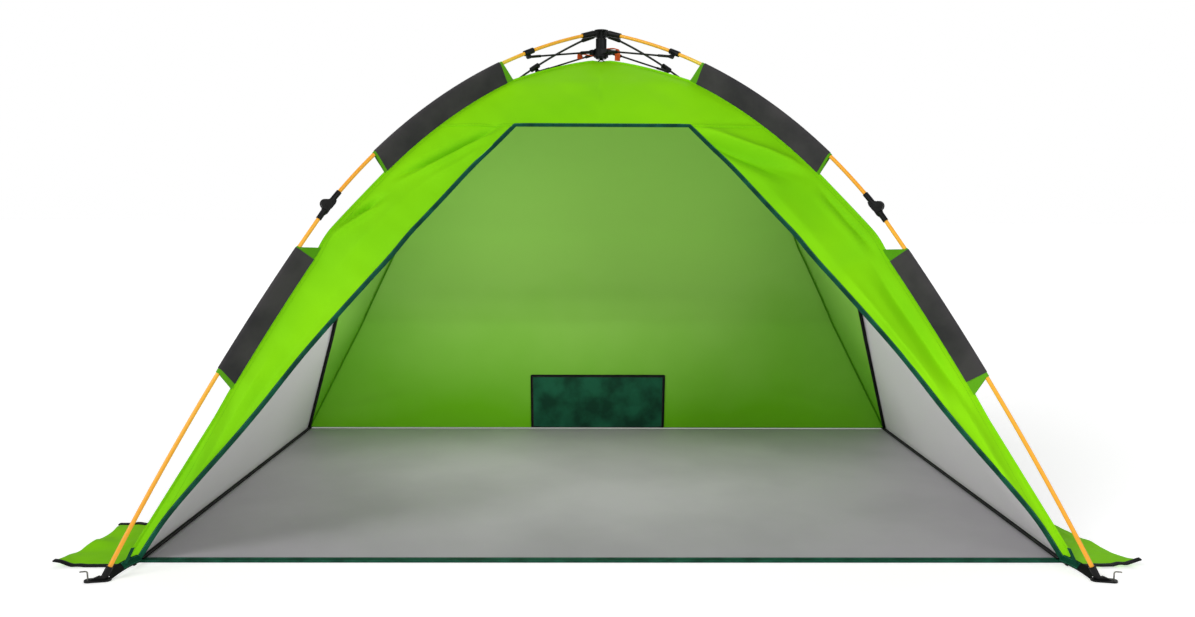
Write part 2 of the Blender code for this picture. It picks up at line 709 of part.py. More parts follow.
# Canopy
def ridge_points():
    """The canopy's ridge from its peak down to the floor's corner, as (side, end, up), all positive."""
    first = upper_bow.point(UPPER_SLEEVE_START, -UPPER_SLEEVE_DEPTH)
    peak = Vector((0.0, apex_height))
    control = Vector(
        (first.x * RIDGE_PULL_OUT_SHARE, apex_height + (first.y - apex_height) * RIDGE_PULL_DOWN_SHARE)
    )
    line = []
    for share in RIDGE_TOP_SHARES:
        line.append(peak * (1 - share) ** 2 + control * 2 * share * (1 - share) + first * share ** 2)
    line += [upper_bow.point(way, -UPPER_SLEEVE_DEPTH) for way in UPPER_SLEEVE_WAYS]
    line.append(upper_bow.point(upper_bow.length, -LOWER_SLEEVE_DEPTH))
    line.append(lower_bow.point(LOWER_SLEEVE_START / 2, -BARE_RIDGE_DEPTH))
    line += [lower_bow.point(way, -LOWER_SLEEVE_DEPTH) for way in LOWER_SLEEVE_WAYS]
    pole = [
        Vector((point.x * math.cos(pole_angle), point.x * math.sin(pole_angle), point.y)) for point in line
    ]
    corner = Vector((half_width, half_depth, 0.0))
    last = pole[-1]
    low_share = 1 - (floor_top + CLOTH / 2) / last.z
    pole += [last.lerp(corner, share) for share in (low_share / 3, low_share * 2 / 3, low_share)]
    return pole


def with_height(points, height):
    """The ridge with one more point, where it reaches a height."""
    found = []
    for here, there in zip(points, points[1:]):
        found.append(here)
        if here.z > height + MERGE and there.z < height - MERGE:
            found.append(here.lerp(there, (here.z - height) / (here.z - there.z)))
    return [*found, points[-1]]


def trimmed(points, number, axis):
    """How far a wall's edge stops from the ridge, along the wall's own level line."""
    here = points[max(number - 1, 0)]
    there = points[min(number + 1, len(points) - 1)]
    run = (there - here).normalized()
    return EDGE_TRIM / math.sqrt(1 - run[axis] ** 2)


RIDGE = with_height(with_height(ridge_points(), OPENING_HEIGHT), MESH_PANEL_HEIGHT)


def cloth_sheet(name, quads, finish, pivot, thickness=CLOTH):
    """A cloth solid from four-cornered patches of its middle surface."""
    sheet = bmesh.new()
    for quad in quads:
        sheet.faces.new([sheet.verts.new(point) for point in quad])
    bmesh.ops.remove_doubles(sheet, verts=sheet.verts, dist=MERGE)
    bmesh.ops.dissolve_degenerate(sheet, edges=sheet.edges, dist=MERGE)
    bmesh.ops.recalc_face_normals(sheet, faces=sheet.faces)
    mesh = bpy.data.meshes.new(name)
    sheet.to_mesh(mesh)
    sheet.free()
    thing = place(name, mesh, finish, pivot, smooth=False)
    thick = thing.modifiers.new("thickness", "SOLIDIFY")
    thick.thickness = thickness
    thick.offset = 0.0
    thick.use_even_offset = True
    return thing


def rows_to_quads(rows):
    quads = []
    for upper, lower in zip(rows, rows[1:]):
        for number in range(len(upper) - 1):
            quads.append((upper[number], upper[number + 1], lower[number + 1], lower[number]))
    return quads


def opening_edge_share(height):
    """How much of the way out to the ridge the opening takes at a height."""
    share = height / OPENING_HEIGHT
    for (low, near), (high, far) in zip(OPENING_EDGE_SHARES, OPENING_EDGE_SHARES[1:]):
        if share <= high + MERGE:
            return near + (far - near) * (share - low) / (high - low)
    return OPENING_EDGE_SHARES[-1][1]


def front_quads():
    """The front: a visor above the opening, and a strip down each side of it."""
    visor = []
    strips = {-1: [], 1: []}
    for number, point in enumerate(RIDGE):
        reach = point.x - trimmed(RIDGE, number, 0)
        inner = opening_edge_share(point.z)
        strip = [1.0, (1 + inner) / 2, inner]
        if point.z >= OPENING_HEIGHT - MERGE:
            columns = [-share for share in strip] + [0.0] + strip[::-1]
            visor.append([Vector((reach * share, -point.y, point.z)) for share in columns])
        if point.z <= OPENING_HEIGHT + MERGE:
            for side, rows in strips.items():
                rows.append([Vector((side * reach * share, -point.y, point.z)) for share in strip])
    return rows_to_quads(visor) + rows_to_quads(strips[-1]) + rows_to_quads(strips[1])


def rear_quads():
    rows = []
    for number, point in enumerate(RIDGE):
        reach = point.x - trimmed(RIDGE, number, 0)
        rows.append([Vector((reach * column, point.y, point.z)) for column in REAR_COLUMN_SHARES])
    return rows_to_quads(rows)


def seam_end(point):
    """Where the seam between the green cloth and the mesh lies at a ridge point's height."""
    top = next(p for p in RIDGE if abs(p.z - MESH_PANEL_HEIGHT) < MERGE)
    rear = half_depth - EDGE_TRIM * 6
    return rear - (rear + top.y) * min(point.z / top.z, 1.0)


def side_quads(side, mesh_panel):
    """A side wall's green cloth, or the mesh panel in front of and below it."""
    rows = []
    for number, point in enumerate(RIDGE):
        reach = point.y - trimmed(RIDGE, number, 1)
        if not mesh_panel:
            front = -reach if point.z >= MESH_PANEL_HEIGHT else max(seam_end(point) + EDGE_TRIM, -reach)
            columns = [front + (reach - front) * share for share in SIDE_COLUMN_SHARES]
            rows.append([Vector((side * point.x, y, point.z)) for y in columns])
        elif point.z < MESH_PANEL_HEIGHT - MERGE:
            rear = seam_end(point)
            columns = [-reach + (rear + reach) * share for share in SIDE_COLUMN_SHARES]
            rows.append([Vector((side * point.x, y, point.z)) for y in columns])
    return rows_to_quads(rows)


def rear_wall_place(height):
    """How far behind the origin the rear wall stands at a height."""
    for above, below in zip(RIDGE, RIDGE[1:]):
        if below.z <= height <= above.z:
            return below.y + (above.y - below.y) * (height - below.z) / (above.z - below.z)
    return RIDGE[-1].y


def pocket_quads():
    """The flat pocket that stands on the inside of the rear wall, just above the floor."""
    base = RIDGE[-1].z + CLOTH
    levels = [base, *[p.z for p in reversed(RIDGE) if base < p.z < base + POCKET_HEIGHT], base + POCKET_HEIGHT]
    lift = CLOTH / 2 + POCKET_CLOTH / 2 + GAP * 2
    rows = []
    for level in reversed(levels):
        depth = rear_wall_place(level) - lift
        rows.append([Vector((x, depth, level)) for x in (-POCKET_WIDTH / 2, 0.0, POCKET_WIDTH / 2)])
    return rows_to_quads(rows)


def floor_mesh(front):
    """Half of the floor, from the middle to the front or rear edge."""
    near = GAP / 2
    ends = (-half_depth, -near) if front else (near, half_depth)
    outline = [(-half_width, ends[0]), (half_width, ends[0]), (half_width, ends[1]), (-half_width, ends[1])]
    return flat_solid("floor", outline, 0.0, CLOTH)


def flap_mesh(side):
    """The flap that lies on the ground outside a front corner, rippled towards its free edge."""
    inner = half_width + GAP
    front = half_depth + FLAP_FRONT_STEP
    rows_low = []
    rows_high = []
    for row in range(13):
        share = row / 12
        end = -front + FLAP_LENGTH * share
        wave = math.sin(2 * math.pi * share) ** 2
        width = FLAP_WIDTH - FLAP_TAPER * share - FLAP_WAVE * wave
        low = []
        for column in range(5):
            reach = column / 4
            lift = FLAP_WAVE * wave * reach ** 2
            low.append(Vector((side * (inner + width * reach), end, lift)))
        rows_low.append(low)
        rows_high.append([point + UP * FLAP_CLOTH for point in low])
    rings = [low + high[::-1] for low, high in zip(rows_low, rows_high)]
    return skin("flap", rings)


# Colours and finishes
black_plastic = material("black_plastic", (0.018, 0.018, 0.019), 0.42)
orange_rod = material("orange_fibreglass", (0.85, 0.36, 0.03), 0.30)
black_rod = material("black_fibreglass", (0.02, 0.02, 0.02), 0.35)
steel = material("steel_wire", (0.42, 0.42, 0.41), 0.35, 1.0)
green_cloth = material("green_cloth", (0.22, 0.62, 0.01), 0.75)
grey_sleeve = material("grey_sleeve_cloth", (0.045, 0.043, 0.043), 0.85)
grey_floor = material("grey_floor_sheet", (0.27, 0.27, 0.28), 0.6)
grey_mesh = material("grey_mesh", (0.38, 0.38, 0.38), 0.8)
dark_mesh = material("dark_green_mesh", (0.01, 0.06, 0.035), 0.85)
red_webbing = material("red_webbing", (0.55, 0.10, 0.03), 0.8)


def build_hub():
    place("crown", crown_mesh(), black_plastic)
    place("shaft", shaft_mesh(), black_plastic)
    runner_seat = UP * RUNNER_PIN_HEIGHT
    place("runner", runner_mesh(), black_plastic, runner_seat)
    right_tab = tab_mesh(RIGHT_TAB_DROP, RIGHT_TAB_REACH, RIGHT_TAB_SLOPE, RIGHT_TAB_HANG)
    left_tab = tab_mesh(LEFT_TAB_DROP, LEFT_TAB_REACH, LEFT_TAB_SLOPE, LEFT_TAB_HANG)
    place("pull_tab_right", right_tab, red_webbing, runner_seat, TAB_ANGLE)
    place("pull_tab_left", left_tab, red_webbing, runner_seat, math.pi + TAB_ANGLE)


def build_poles():
    """Each pole with its fittings; the two ends of the tent differ in their rods."""
    strut = strut_mesh()
    bracket_ends = [BRACKET_WAY - BRACKET_LENGTH, BRACKET_WAY + BRACKET_LENGTH]
    upper_last = upper_bow.length - KNEE_CUP_START - KNEE_CUP_FLOOR - GAP
    upper_ways = rod_ways(
        upper_bow, SOCKET_FLOOR + GAP, upper_last,
        UPPER_SLEEVE_WAYS, [SOCKET_END, *bracket_ends, upper_bow.length - KNEE_UPPER_CUP_END],
    )
    lower_first = KNEE_CUP_START + KNEE_CUP_FLOOR + GAP
    lower_middle = (LOWER_SLEEVE_END + lower_bow.length) / 2
    lower_ways = rod_ways(
        lower_bow, lower_first, lower_bow.length - FERRULE_FLOOR - GAP,
        LOWER_SLEEVE_WAYS, [KNEE_LOWER_CUP_END, lower_middle, lower_bow.length - FERRULE_LENGTH],
    )
    pin_seat = upright(hub_pin)
    runner_pin_seat = upright(Vector((RUNNER_PIN_RADIUS, RUNNER_PIN_HEIGHT)), STRUT_SHIFT)
    knee_seat = upright(knee)
    for end, rod in ROD_RADIUS.items():
        finish = orange_rod if end == "front" else black_rod
        upper_meshes = (
            ("pole_socket", socket_mesh(rod), black_plastic),
            ("upper_pole", rod_mesh("upper_pole", upper_bow, upper_ways, rod), finish),
            ("strut_bracket", bracket_mesh(rod), black_plastic),
            ("knee_upper", knee_upper_mesh(rod), black_plastic),
            ("upper_sleeve", sleeve_mesh(upper_bow, UPPER_SLEEVE_WAYS, rod, UPPER_SLEEVE_DEPTH), grey_sleeve),
        )
        lower_meshes = (
            ("knee_lower", knee_lower_mesh(rod), black_plastic),
            ("lower_pole", rod_mesh("lower_pole", lower_bow, lower_ways, rod), finish),
            ("lower_sleeve", sleeve_mesh(lower_bow, LOWER_SLEEVE_WAYS, rod, LOWER_SLEEVE_DEPTH), grey_sleeve),
        )
        for side in ("left", "right"):
            corner = end + "_" + side
            turn = POLE_TURNS[corner]
            foot_turn = FOOT_TURN if corner in ("front_right", "rear_left") else -FOOT_TURN
            peg_seat = OUT * foot_radius + Matrix.Rotation(foot_turn, 3, "Z") @ (OUT * EYELET_REACH)
            for name, mesh, look in upper_meshes:
                place(name + "_" + corner, mesh, look, pin_seat, turn)
            for name, mesh, look in lower_meshes:
                place(name + "_" + corner, mesh, look, knee_seat, turn)
            place("strut_" + corner, strut, black_plastic, runner_pin_seat, turn)
            place("foot_" + corner, foot_mesh(rod, foot_turn), black_plastic, knee_seat, turn)
            place("peg_" + corner, peg_mesh(foot_turn), steel, peg_seat, turn)


def build_cloth():
    peak = UP * apex_height
    cloth_sheet("front_panel", front_quads(), green_cloth, peak)
    cloth_sheet("rear_wall", rear_quads(), green_cloth, peak)
    cloth_sheet("mesh_pocket", pocket_quads(), dark_mesh, peak, POCKET_CLOTH)
    for name, side in (("left", -1), ("right", 1)):
        cloth_sheet(name + "_wall", side_quads(side, False), green_cloth, peak)
        cloth_sheet(name + "_mesh_panel", side_quads(side, True), grey_mesh, peak)
        flap_seat = Vector((side * (half_width + GAP), 0.0, FLAP_CLOTH))
        place("ground_flap_" + name, flap_mesh(side), green_cloth, flap_seat, smooth=False)
    place("floor_front", floor_mesh(True), grey_floor, Vector((0.0, -half_depth, 0.0)), smooth=False)
    place("floor_rear", floor_mesh(False), grey_floor, Vector((0.0, half_depth, 0.0)), smooth=False)


for leftover in list(bpy.data.objects):
    bpy.data.objects.remove(leftover)
build_hub()
build_poles()
build_cloth()
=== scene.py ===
"""The looks of a folding beach tent: stretched cloth, tape, webbing, rods and moulded fittings.

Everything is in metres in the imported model's own frame: X to the right, Y into the tent, Z up.
The canopy hangs below four bowed poles, so its pieces are drawn from one ridge curve along the poles.
"""

import json
import math

import bpy
import bmesh
from mathutils import Matrix, Vector, noise


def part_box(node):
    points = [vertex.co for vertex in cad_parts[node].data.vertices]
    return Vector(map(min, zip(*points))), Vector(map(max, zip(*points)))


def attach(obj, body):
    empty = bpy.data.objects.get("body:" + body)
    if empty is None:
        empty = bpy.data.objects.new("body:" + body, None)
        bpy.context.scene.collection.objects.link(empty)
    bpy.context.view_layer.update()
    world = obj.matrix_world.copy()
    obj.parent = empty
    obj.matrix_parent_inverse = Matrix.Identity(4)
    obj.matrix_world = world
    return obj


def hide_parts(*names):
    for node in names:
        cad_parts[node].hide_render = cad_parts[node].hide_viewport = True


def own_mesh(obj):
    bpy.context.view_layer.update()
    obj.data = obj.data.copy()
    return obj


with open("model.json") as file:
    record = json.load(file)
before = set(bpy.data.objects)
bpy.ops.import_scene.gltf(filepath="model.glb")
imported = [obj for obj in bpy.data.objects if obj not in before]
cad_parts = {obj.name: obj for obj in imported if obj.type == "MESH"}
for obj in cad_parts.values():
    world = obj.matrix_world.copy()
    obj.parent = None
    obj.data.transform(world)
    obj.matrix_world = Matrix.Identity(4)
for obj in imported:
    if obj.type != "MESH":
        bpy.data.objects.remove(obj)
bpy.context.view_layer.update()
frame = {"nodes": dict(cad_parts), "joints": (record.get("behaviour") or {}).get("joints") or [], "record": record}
JOINTS = {joint["name"]: joint for joint in frame["joints"]}

# Places that the frame gives
hub_pin_place = Vector(JOINTS["fold_front_right"]["pos_m"])
knee_place = Vector(JOINTS["knee_front_right"]["pos_m"])
POLE_ANGLE = math.atan2(-hub_pin_place.y, hub_pin_place.x)
HALF_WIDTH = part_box("floor_front")[1].x
HALF_DEPTH = -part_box("floor_front")[0].y
PEAK = Vector(JOINTS["front_cloth_fold"]["pos_m"])
SIDES = (("left", -1), ("right", 1))
TURNS = {
    "front_left": math.pi + POLE_ANGLE,
    "front_right": -POLE_ANGLE,
    "rear_left": math.pi - POLE_ANGLE,
    "rear_right": POLE_ANGLE,
}

# The poles' bows and what is sewn below them, as the solids have them
FOOT_SIDE_STEP = 0.018
FOOT_END_STEP = 0.102
UPPER_BEND = math.radians(36.0)
LOWER_BEND = math.radians(8.5)
KNEE_OFFSET = 0.006
UPPER_SLEEVE_DEPTH = 0.052
LOWER_SLEEVE_DEPTH = 0.046
BARE_RIDGE_DEPTH = 0.04
UPPER_SLEEVE = (0.33, 0.752)
LOWER_SLEEVE = (0.124, 0.462)
RIDGE_PULL_OUT_SHARE = 0.45
RIDGE_PULL_DOWN_SHARE = 0.25
OPENING_HEIGHT = 0.998
SEAM_HEIGHT = 0.885
SEAM_REAR_STEP = 0.006
ROD_RADIUS = {"front": 0.00475, "rear": 0.003}
FLOOR_TOP = 0.0018
OPENING_EDGE_SHARES = (
    (0.0, 0.991), (0.094, 0.98), (0.181, 0.952), (0.264, 0.919), (0.359, 0.883), (0.461, 0.847),
    (0.559, 0.8), (0.66, 0.742), (0.726, 0.698), (0.873, 0.619), (0.957, 0.555), (1.0, 0.524),
)

CLOTH = 0.0007
TAPE = 0.0022
THREAD_LIFT = 0.0001
MERGE = 0.00002
UP = Vector((0.0, 0.0, 1.0))
OUT = Vector((1.0, 0.0, 0.0))
ACROSS = Vector((0.0, -1.0, 0.0))


def signs(corner):
    """A corner's side and end of the tent, as -1 or 1: left or right, and front or rear."""
    return (1 if corner.endswith("right") else -1), (-1 if corner.startswith("front") else 1)


# Curves in a pole's upright plane, as (out, up)
def outward(heading):
    return Vector((-math.sin(heading), math.cos(heading)))


class Bow:
    """A rod bowed to an even arc between two points of the pole's plane."""

    def __init__(self, start, end, bend):
        chord = end - start
        self.radius = chord.length / (2 * math.sin(bend / 2))
        self.length = self.radius * bend
        self.first = math.atan2(chord.y, chord.x) + bend / 2
        self.centre = start - self.radius * outward(self.first)

    def heading(self, way):
        return self.first - way / self.radius

    def point(self, way, rise=0.0):
        return self.centre + (self.radius + rise) * outward(self.heading(way))


foot = Vector((math.hypot(HALF_WIDTH + FOOT_SIDE_STEP, HALF_DEPTH + FOOT_END_STEP), 0.0))
hub_pin = Vector((hub_pin_place.xy.length, hub_pin_place.z))
knee = Vector((knee_place.xy.length, knee_place.z))
upper_chord = knee - hub_pin
lower_chord = foot - knee
upper_knee_heading = math.atan2(upper_chord.y, upper_chord.x) - UPPER_BEND / 2
lower_knee_heading = math.atan2(lower_chord.y, lower_chord.x) + LOWER_BEND / 2
upper_bow = Bow(hub_pin, knee - KNEE_OFFSET * outward(upper_knee_heading), UPPER_BEND)
lower_bow = Bow(knee - KNEE_OFFSET * outward(lower_knee_heading), foot, LOWER_BEND)


def upright(point, across=0.0):
    return point.x * OUT + across * ACROSS + point.y * UP


def spaced(first, last, steps):
    return [first + (last - first) * step / steps for step in range(steps + 1)]


def eased(share):
    share = min(max(share, 0.0), 1.0)
    return share * share * (3 - 2 * share)


def smooth_line(points, steps):
    """A smooth line through points, with steps between each two."""
    line = []
    for number in range(len(points) - 1):
        here, there = points[number], points[number + 1]
        before = points[number - 1] if number else here * 2 - there
        after = points[number + 2] if number + 2 < len(points) else there * 2 - here
        for step in range(steps):
            share = step / steps
            line.append(
                0.5 * (
                    2 * here + (there - before) * share
                    + (2 * before - 5 * here + 4 * there - after) * share ** 2
                    + (3 * here - before - 3 * there + after) * share ** 3
                )
            )
    return [*line, points[-1]]


def resampled(points, count):
    """The same line with count even steps."""
    reach = [0.0]
    for here, there in zip(points, points[1:]):
        reach.append(reach[-1] + (there - here).length)
    found = []
    place = 0
    for number in range(count + 1):
        want = reach[-1] * number / count
        while place < len(points) - 2 and reach[place + 1] < want:
            place += 1
        span = reach[place + 1] - reach[place]
        found.append(points[place].lerp(points[place + 1], (want - reach[place]) / span if span else 0.0))
    return found


def along_line(points):
    """Each point's direction along a line."""
    ends = [(max(number - 1, 0), min(number + 1, len(points) - 1)) for number in range(len(points))]
    return [(points[after] - points[before]).normalized() for before, after in ends]


def ridge_line():
    """The canopy's ridge from its peak down to the floor's corner, as (side, end, up), all positive."""
    first = upper_bow.point(UPPER_SLEEVE[0], -UPPER_SLEEVE_DEPTH)
    peak = Vector((0.0, PEAK.z))
    control = Vector((first.x * RIDGE_PULL_OUT_SHARE, peak.y + (first.y - peak.y) * RIDGE_PULL_DOWN_SHARE))
    line = []
    for share in (0.0, 0.06, 0.2, 0.4, 0.6, 0.8):
        line.append(peak * (1 - share) ** 2 + control * 2 * share * (1 - share) + first * share ** 2)
    line += [upper_bow.point(way, -UPPER_SLEEVE_DEPTH) for way in spaced(*UPPER_SLEEVE, 6)]
    line.append(upper_bow.point(upper_bow.length, -LOWER_SLEEVE_DEPTH))
    line.append(lower_bow.point(LOWER_SLEEVE[0] / 2, -BARE_RIDGE_DEPTH))
    line += [lower_bow.point(way, -LOWER_SLEEVE_DEPTH) for way in spaced(*LOWER_SLEEVE, 8)]
    pole = [Vector((p.x * math.cos(POLE_ANGLE), p.x * math.sin(POLE_ANGLE), p.y)) for p in line]
    corner = Vector((HALF_WIDTH, HALF_DEPTH, 0.0))
    last = pole[-1]
    low_share = 1 - (FLOOR_TOP + CLOTH) / last.z
    pole += [last.lerp(corner, low_share * step / 9) for step in range(1, 10)]
    return smooth_line(pole, 8)


RIDGE = ridge_line()


def ridge_at(height):
    """The ridge's point at a height, as (side, end, up)."""
    for above, below in zip(RIDGE, RIDGE[1:]):
        if below.z <= height <= above.z:
            return above.lerp(below, (above.z - height) / max(above.z - below.z, MERGE))
    return RIDGE[0].copy() if height > RIDGE[0].z else RIDGE[-1].copy()


def ridge_heights(count, marks=()):
    """Heights of even steps down the ridge, moved to meet each mark."""
    heights = [point.z for point in resampled(RIDGE, count)]
    for mark in marks:
        nearest = min(range(len(heights)), key=lambda number: abs(heights[number] - mark))
        heights[nearest] = mark
    return heights


edge_line = smooth_line([Vector((share, width)) for share, width in OPENING_EDGE_SHARES], 6)


def opening_half_width(height):
    """Half the opening's width at a height, as its share of the way out to the ridge."""
    share = height / OPENING_HEIGHT
    for low, high in zip(edge_line, edge_line[1:]):
        if low.x <= share <= high.x:
            return ridge_at(height).x * (low.y + (high.y - low.y) * (share - low.x) / (high.x - low.x))
    return ridge_at(height).x * edge_line[-1].y


# Finishes
def srgb(red, green, blue):
    """A colour as seen, each part from 0 to 255, as the shader wants it."""
    parts = []
    for part in (red, green, blue):
        share = part / 255
        parts.append(share / 12.92 if share <= 0.04045 else ((share + 0.055) / 1.055) ** 2.4)
    return (*parts, 1.0)


class Finish:
    """A node material about one Principled shader, with helpers that add its patterns."""

    def __init__(self, name, roughness, metallic=0.0, specular=0.5, sheen=0.0, coat=0.0):
        self.material = bpy.data.materials.new(name)
        self.material.use_nodes = True
        self.nodes = self.material.node_tree.nodes
        self.links = self.material.node_tree.links
        self.shader = self.nodes["Principled BSDF"]
        for label, value in (
            ("Roughness", roughness), ("Metallic", metallic), ("Specular IOR Level", specular),
            ("Sheen Weight", sheen), ("Coat Weight", coat),
        ):
            self.shader.inputs[label].default_value = value
        self.place = self.node("TexCoord")
        self.bumps = {}

    def node(self, kind, feeds=(), **values):
        """A node with values set, and with other nodes' outputs fed into the sockets that feeds names."""
        made = self.nodes.new("ShaderNode" + kind)
        for name, value in values.items():
            made.inputs[name.replace("_", " ")].default_value = value
        for socket, source in dict(feeds).items():
            self.links.new(source, made.inputs[socket])
        return made

    def noise(self, scale, detail=3.0, source="Object", stretch=(1.0, 1.0, 1.0)):
        placed = self.node("Mapping", {"Vector": self.place.outputs[source]}, Scale=stretch)
        cloud = self.node("TexNoise", {"Vector": placed.outputs["Vector"]}, Scale=scale, Detail=detail)
        return cloud.outputs["Fac"]

    def along(self, source, axis):
        """One coordinate of a piece's place or of its UV map."""
        return self.node("SeparateXYZ", {"Vector": self.place.outputs[source]}).outputs[axis]

    def colour(self, source, stops):
        """Colour the surface by a value, with stops as (value, colour)."""
        ramp = self.node("ValToRGB", {"Fac": source})
        while len(ramp.color_ramp.elements) < len(stops):
            ramp.color_ramp.elements.new(0.5)
        for element, (position, colour) in zip(ramp.color_ramp.elements, stops):
            element.position = position
            element.color = colour
        self.links.new(ramp.outputs["Color"], self.shader.inputs["Base Color"])

    def bump(self, source, strength, distance):
        made = self.node("Bump", {"Height": source, **self.bumps}, Strength=strength, Distance=distance)
        self.bumps = {"Normal": made.outputs["Normal"]}
        self.links.new(made.outputs["Normal"], self.shader.inputs["Normal"])

    def roughness(self, source, low, high):
        spread = self.node("MapRange", {"Value": source}, To_Min=low, To_Max=high)
        self.links.new(spread.outputs["Result"], self.shader.inputs["Roughness"])

    def weave(self, pitch, strength, distance):
        """Crossed threads on the piece's own UV map, which is in metres."""
        both = self.node("Math")
        both.operation = "MULTIPLY"
        for number, direction in enumerate(("X", "Y")):
            wave = self.node(
                "TexWave", {"Vector": self.place.outputs["UV"]}, Scale=math.pi / 10 / pitch, Distortion=0.6
            )
            wave.bands_direction = direction
            self.links.new(wave.outputs["Fac"], both.inputs[number])
        self.bump(both.outputs["Value"], strength, distance)


CREASE_SCALE = 7.0
CREASE_RISE = 0.006
WEAVE_RISE = 0.0002


def cloth_finish(name, light, dark, pitch, roughness, sheen=0.0, cloud=1.6, creases=0.35):
    """Woven cloth: a slow change of colour, soft creases and a fine weave."""
    made = Finish(name, roughness, specular=0.12, sheen=sheen)
    made.colour(made.noise(cloud, 4.0), ((0.36, srgb(*dark)), (0.62, srgb(*light))))
    made.bump(made.noise(CREASE_SCALE, 2.0), creases, CREASE_RISE)
    made.weave(pitch, 0.25, WEAVE_RISE)
    return made.material


def lit_through(name, high, low):
    """Cloth seen from inside, with painted light: its colour is paler above and deeper near the ground, as
    daylight coming through the cloth would make it.
    """
    made = Finish(name, 0.8, specular=0.08)
    spread = made.node("MapRange", {"Value": made.along("Object", "Z")}, From_Max=0.95)
    mixed = made.node("Math", {0: made.noise(2.2, 3.0), 2: spread.outputs["Result"]})
    mixed.operation = "MULTIPLY_ADD"
    mixed.inputs[1].default_value = 0.5
    made.colour(mixed.outputs["Value"], ((0.28, srgb(*low)), (0.85, srgb(*high))))
    made.bump(made.noise(CREASE_SCALE, 2.0), 0.3, CREASE_RISE)
    made.weave(0.0009, 0.25, WEAVE_RISE)
    return made.material


def tape_finish(name, light, dark, pitch=0.0012):
    """Binding tape or webbing: ribs across its length."""
    made = Finish(name, 0.62, specular=0.12)
    made.colour(made.noise(26.0), ((0.35, srgb(*dark)), (0.65, srgb(*light))))
    made.weave(pitch, 0.6, 0.0004)
    return made.material


def thread_finish(name, light, dark):
    return tape_finish(name, light, dark, 0.0006)


def plastic_finish(name, light, dark, roughness):
    """Moulded plastic: a fine grain and slight wear in the gloss."""
    made = Finish(name, roughness, specular=0.16)
    made.colour(made.noise(60.0, 4.0), ((0.3, srgb(*dark)), (0.75, srgb(*light))))
    made.roughness(made.noise(35.0), roughness - 0.08, roughness + 0.12)
    made.bump(made.noise(1400.0, 2.0), 0.18, 0.0002)
    return made.material


def rod_finish(name, roughness, *stops):
    """Pulled fibreglass: colour along the rod and fine lengthwise streaks."""
    made = Finish(name, roughness, specular=0.3, coat=0.1)
    made.colour(made.along("UV", "Y"), [(share, srgb(*colour)) for share, colour in stops])
    made.bump(made.noise(320.0, 2.0, "UV", (6.0, 0.05, 1.0)), 0.3, 0.0002)
    made.roughness(made.noise(14.0), roughness - 0.06, roughness + 0.1)
    return made.material


def wire_finish(name, light, dark):
    made = Finish(name, 0.35, metallic=1.0)
    made.colour(made.noise(90.0, 4.0), ((0.35, srgb(*dark)), (0.7, srgb(*light))))
    made.roughness(made.noise(140.0), 0.25, 0.5)
    made.bump(made.noise(500.0, 2.0), 0.15, 0.0002)
    return made.material


GREEN = cloth_finish("green_cloth", (134, 212, 0), (112, 192, 0), 0.0009, 0.7)
# Painted light: the green cloth's inner side, coloured paler towards the top as if lit through the cloth.
GREEN_INSIDE_LIT_THROUGH = lit_through("green_cloth_inside", (150, 204, 92), (108, 184, 26))
# Painted shade: a darker copy of the green cloth, for the sleeve liners and the inner seam allowances, which lie
# in shade.
SHADED_GREEN = cloth_finish("green_seam", (92, 160, 22), (74, 140, 10), 0.0009, 0.75)
GREY_SIDE = cloth_finish("grey_side_cloth", (186, 186, 187), (172, 172, 173), 0.0009, 0.8)
# Painted light: the grey cloth's inner side, coloured much paler than its outer side and paler towards the top, as
# if lit through the cloth.
GREY_INSIDE_LIT_THROUGH = lit_through("grey_side_inside", (224, 221, 225), (218, 214, 219))
FLOOR_SHEET = cloth_finish("grey_floor_sheet", (176, 171, 179), (165, 160, 168), 0.0014, 0.5, 0.0, 2.2, 0.25)
SLEEVE = cloth_finish("sleeve_cloth", (62, 60, 61), (47, 46, 48), 0.0011, 0.85, 0.05, 9.0, 0.5)
POCKET = cloth_finish("pocket_mesh", (24, 92, 66), (8, 58, 40), 0.0022, 0.5, 0.1, 12.0, 0.6)
GREEN_TAPE = tape_finish("dark_green_tape", (6, 76, 54), (0, 52, 36))
BLACK_TAPE = tape_finish("black_tape", (20, 21, 22), (8, 9, 10))
RED_WEBBING = tape_finish("red_webbing", (222, 98, 40), (196, 70, 26), 0.0015)
RED_THREAD = thread_finish("red_thread", (240, 150, 96), (220, 120, 70))
GREEN_THREAD = thread_finish("green_thread", (84, 168, 10), (60, 140, 4))
GREY_THREAD = thread_finish("grey_thread", (120, 120, 120), (92, 92, 92))
SLEEVE_THREAD = thread_finish("sleeve_thread", (84, 82, 82), (64, 62, 62))
# Pale teal stitches: real thread, drawn pale as a painted highlight along the dark green tape.
TEAL_THREAD_HIGHLIGHT = thread_finish("teal_thread", (96, 168, 150), (60, 132, 116))
BLACK_PLASTIC = plastic_finish("black_plastic", (19, 19, 20), (9, 9, 10), 0.4)
ORANGE_ROD = rod_finish(
    "orange_fibreglass", 0.32, (0.0, (238, 168, 44)), (0.28, (240, 174, 46)), (0.33, (224, 192, 58)),
    (0.41, (226, 194, 60)), (0.5, (240, 172, 44)), (1.0, (236, 158, 34)),
)
BLACK_ROD = rod_finish("black_fibreglass", 0.38, (0.0, (24, 24, 24)), (1.0, (38, 37, 36)))
WIRE = wire_finish("peg_wire", (176, 174, 168), (96, 94, 90))

# Finish, material slot and thread of each kind of trim
BLACK_TRIM = (BLACK_TAPE, "black_plastic", GREY_THREAD)
# The green trim's pale teal stitches are a painted highlight.
GREEN_TRIM = (GREEN_TAPE, "dark_green_mesh", TEAL_THREAD_HIGHLIGHT)


# Meshes
def link(data, *finishes):
    """Put a mesh or a lamp into the scene under its own name."""
    thing = bpy.data.objects.new(data.name, data)
    bpy.context.scene.collection.objects.link(thing)
    for finish in finishes:
        data.materials.append(finish)
    return thing


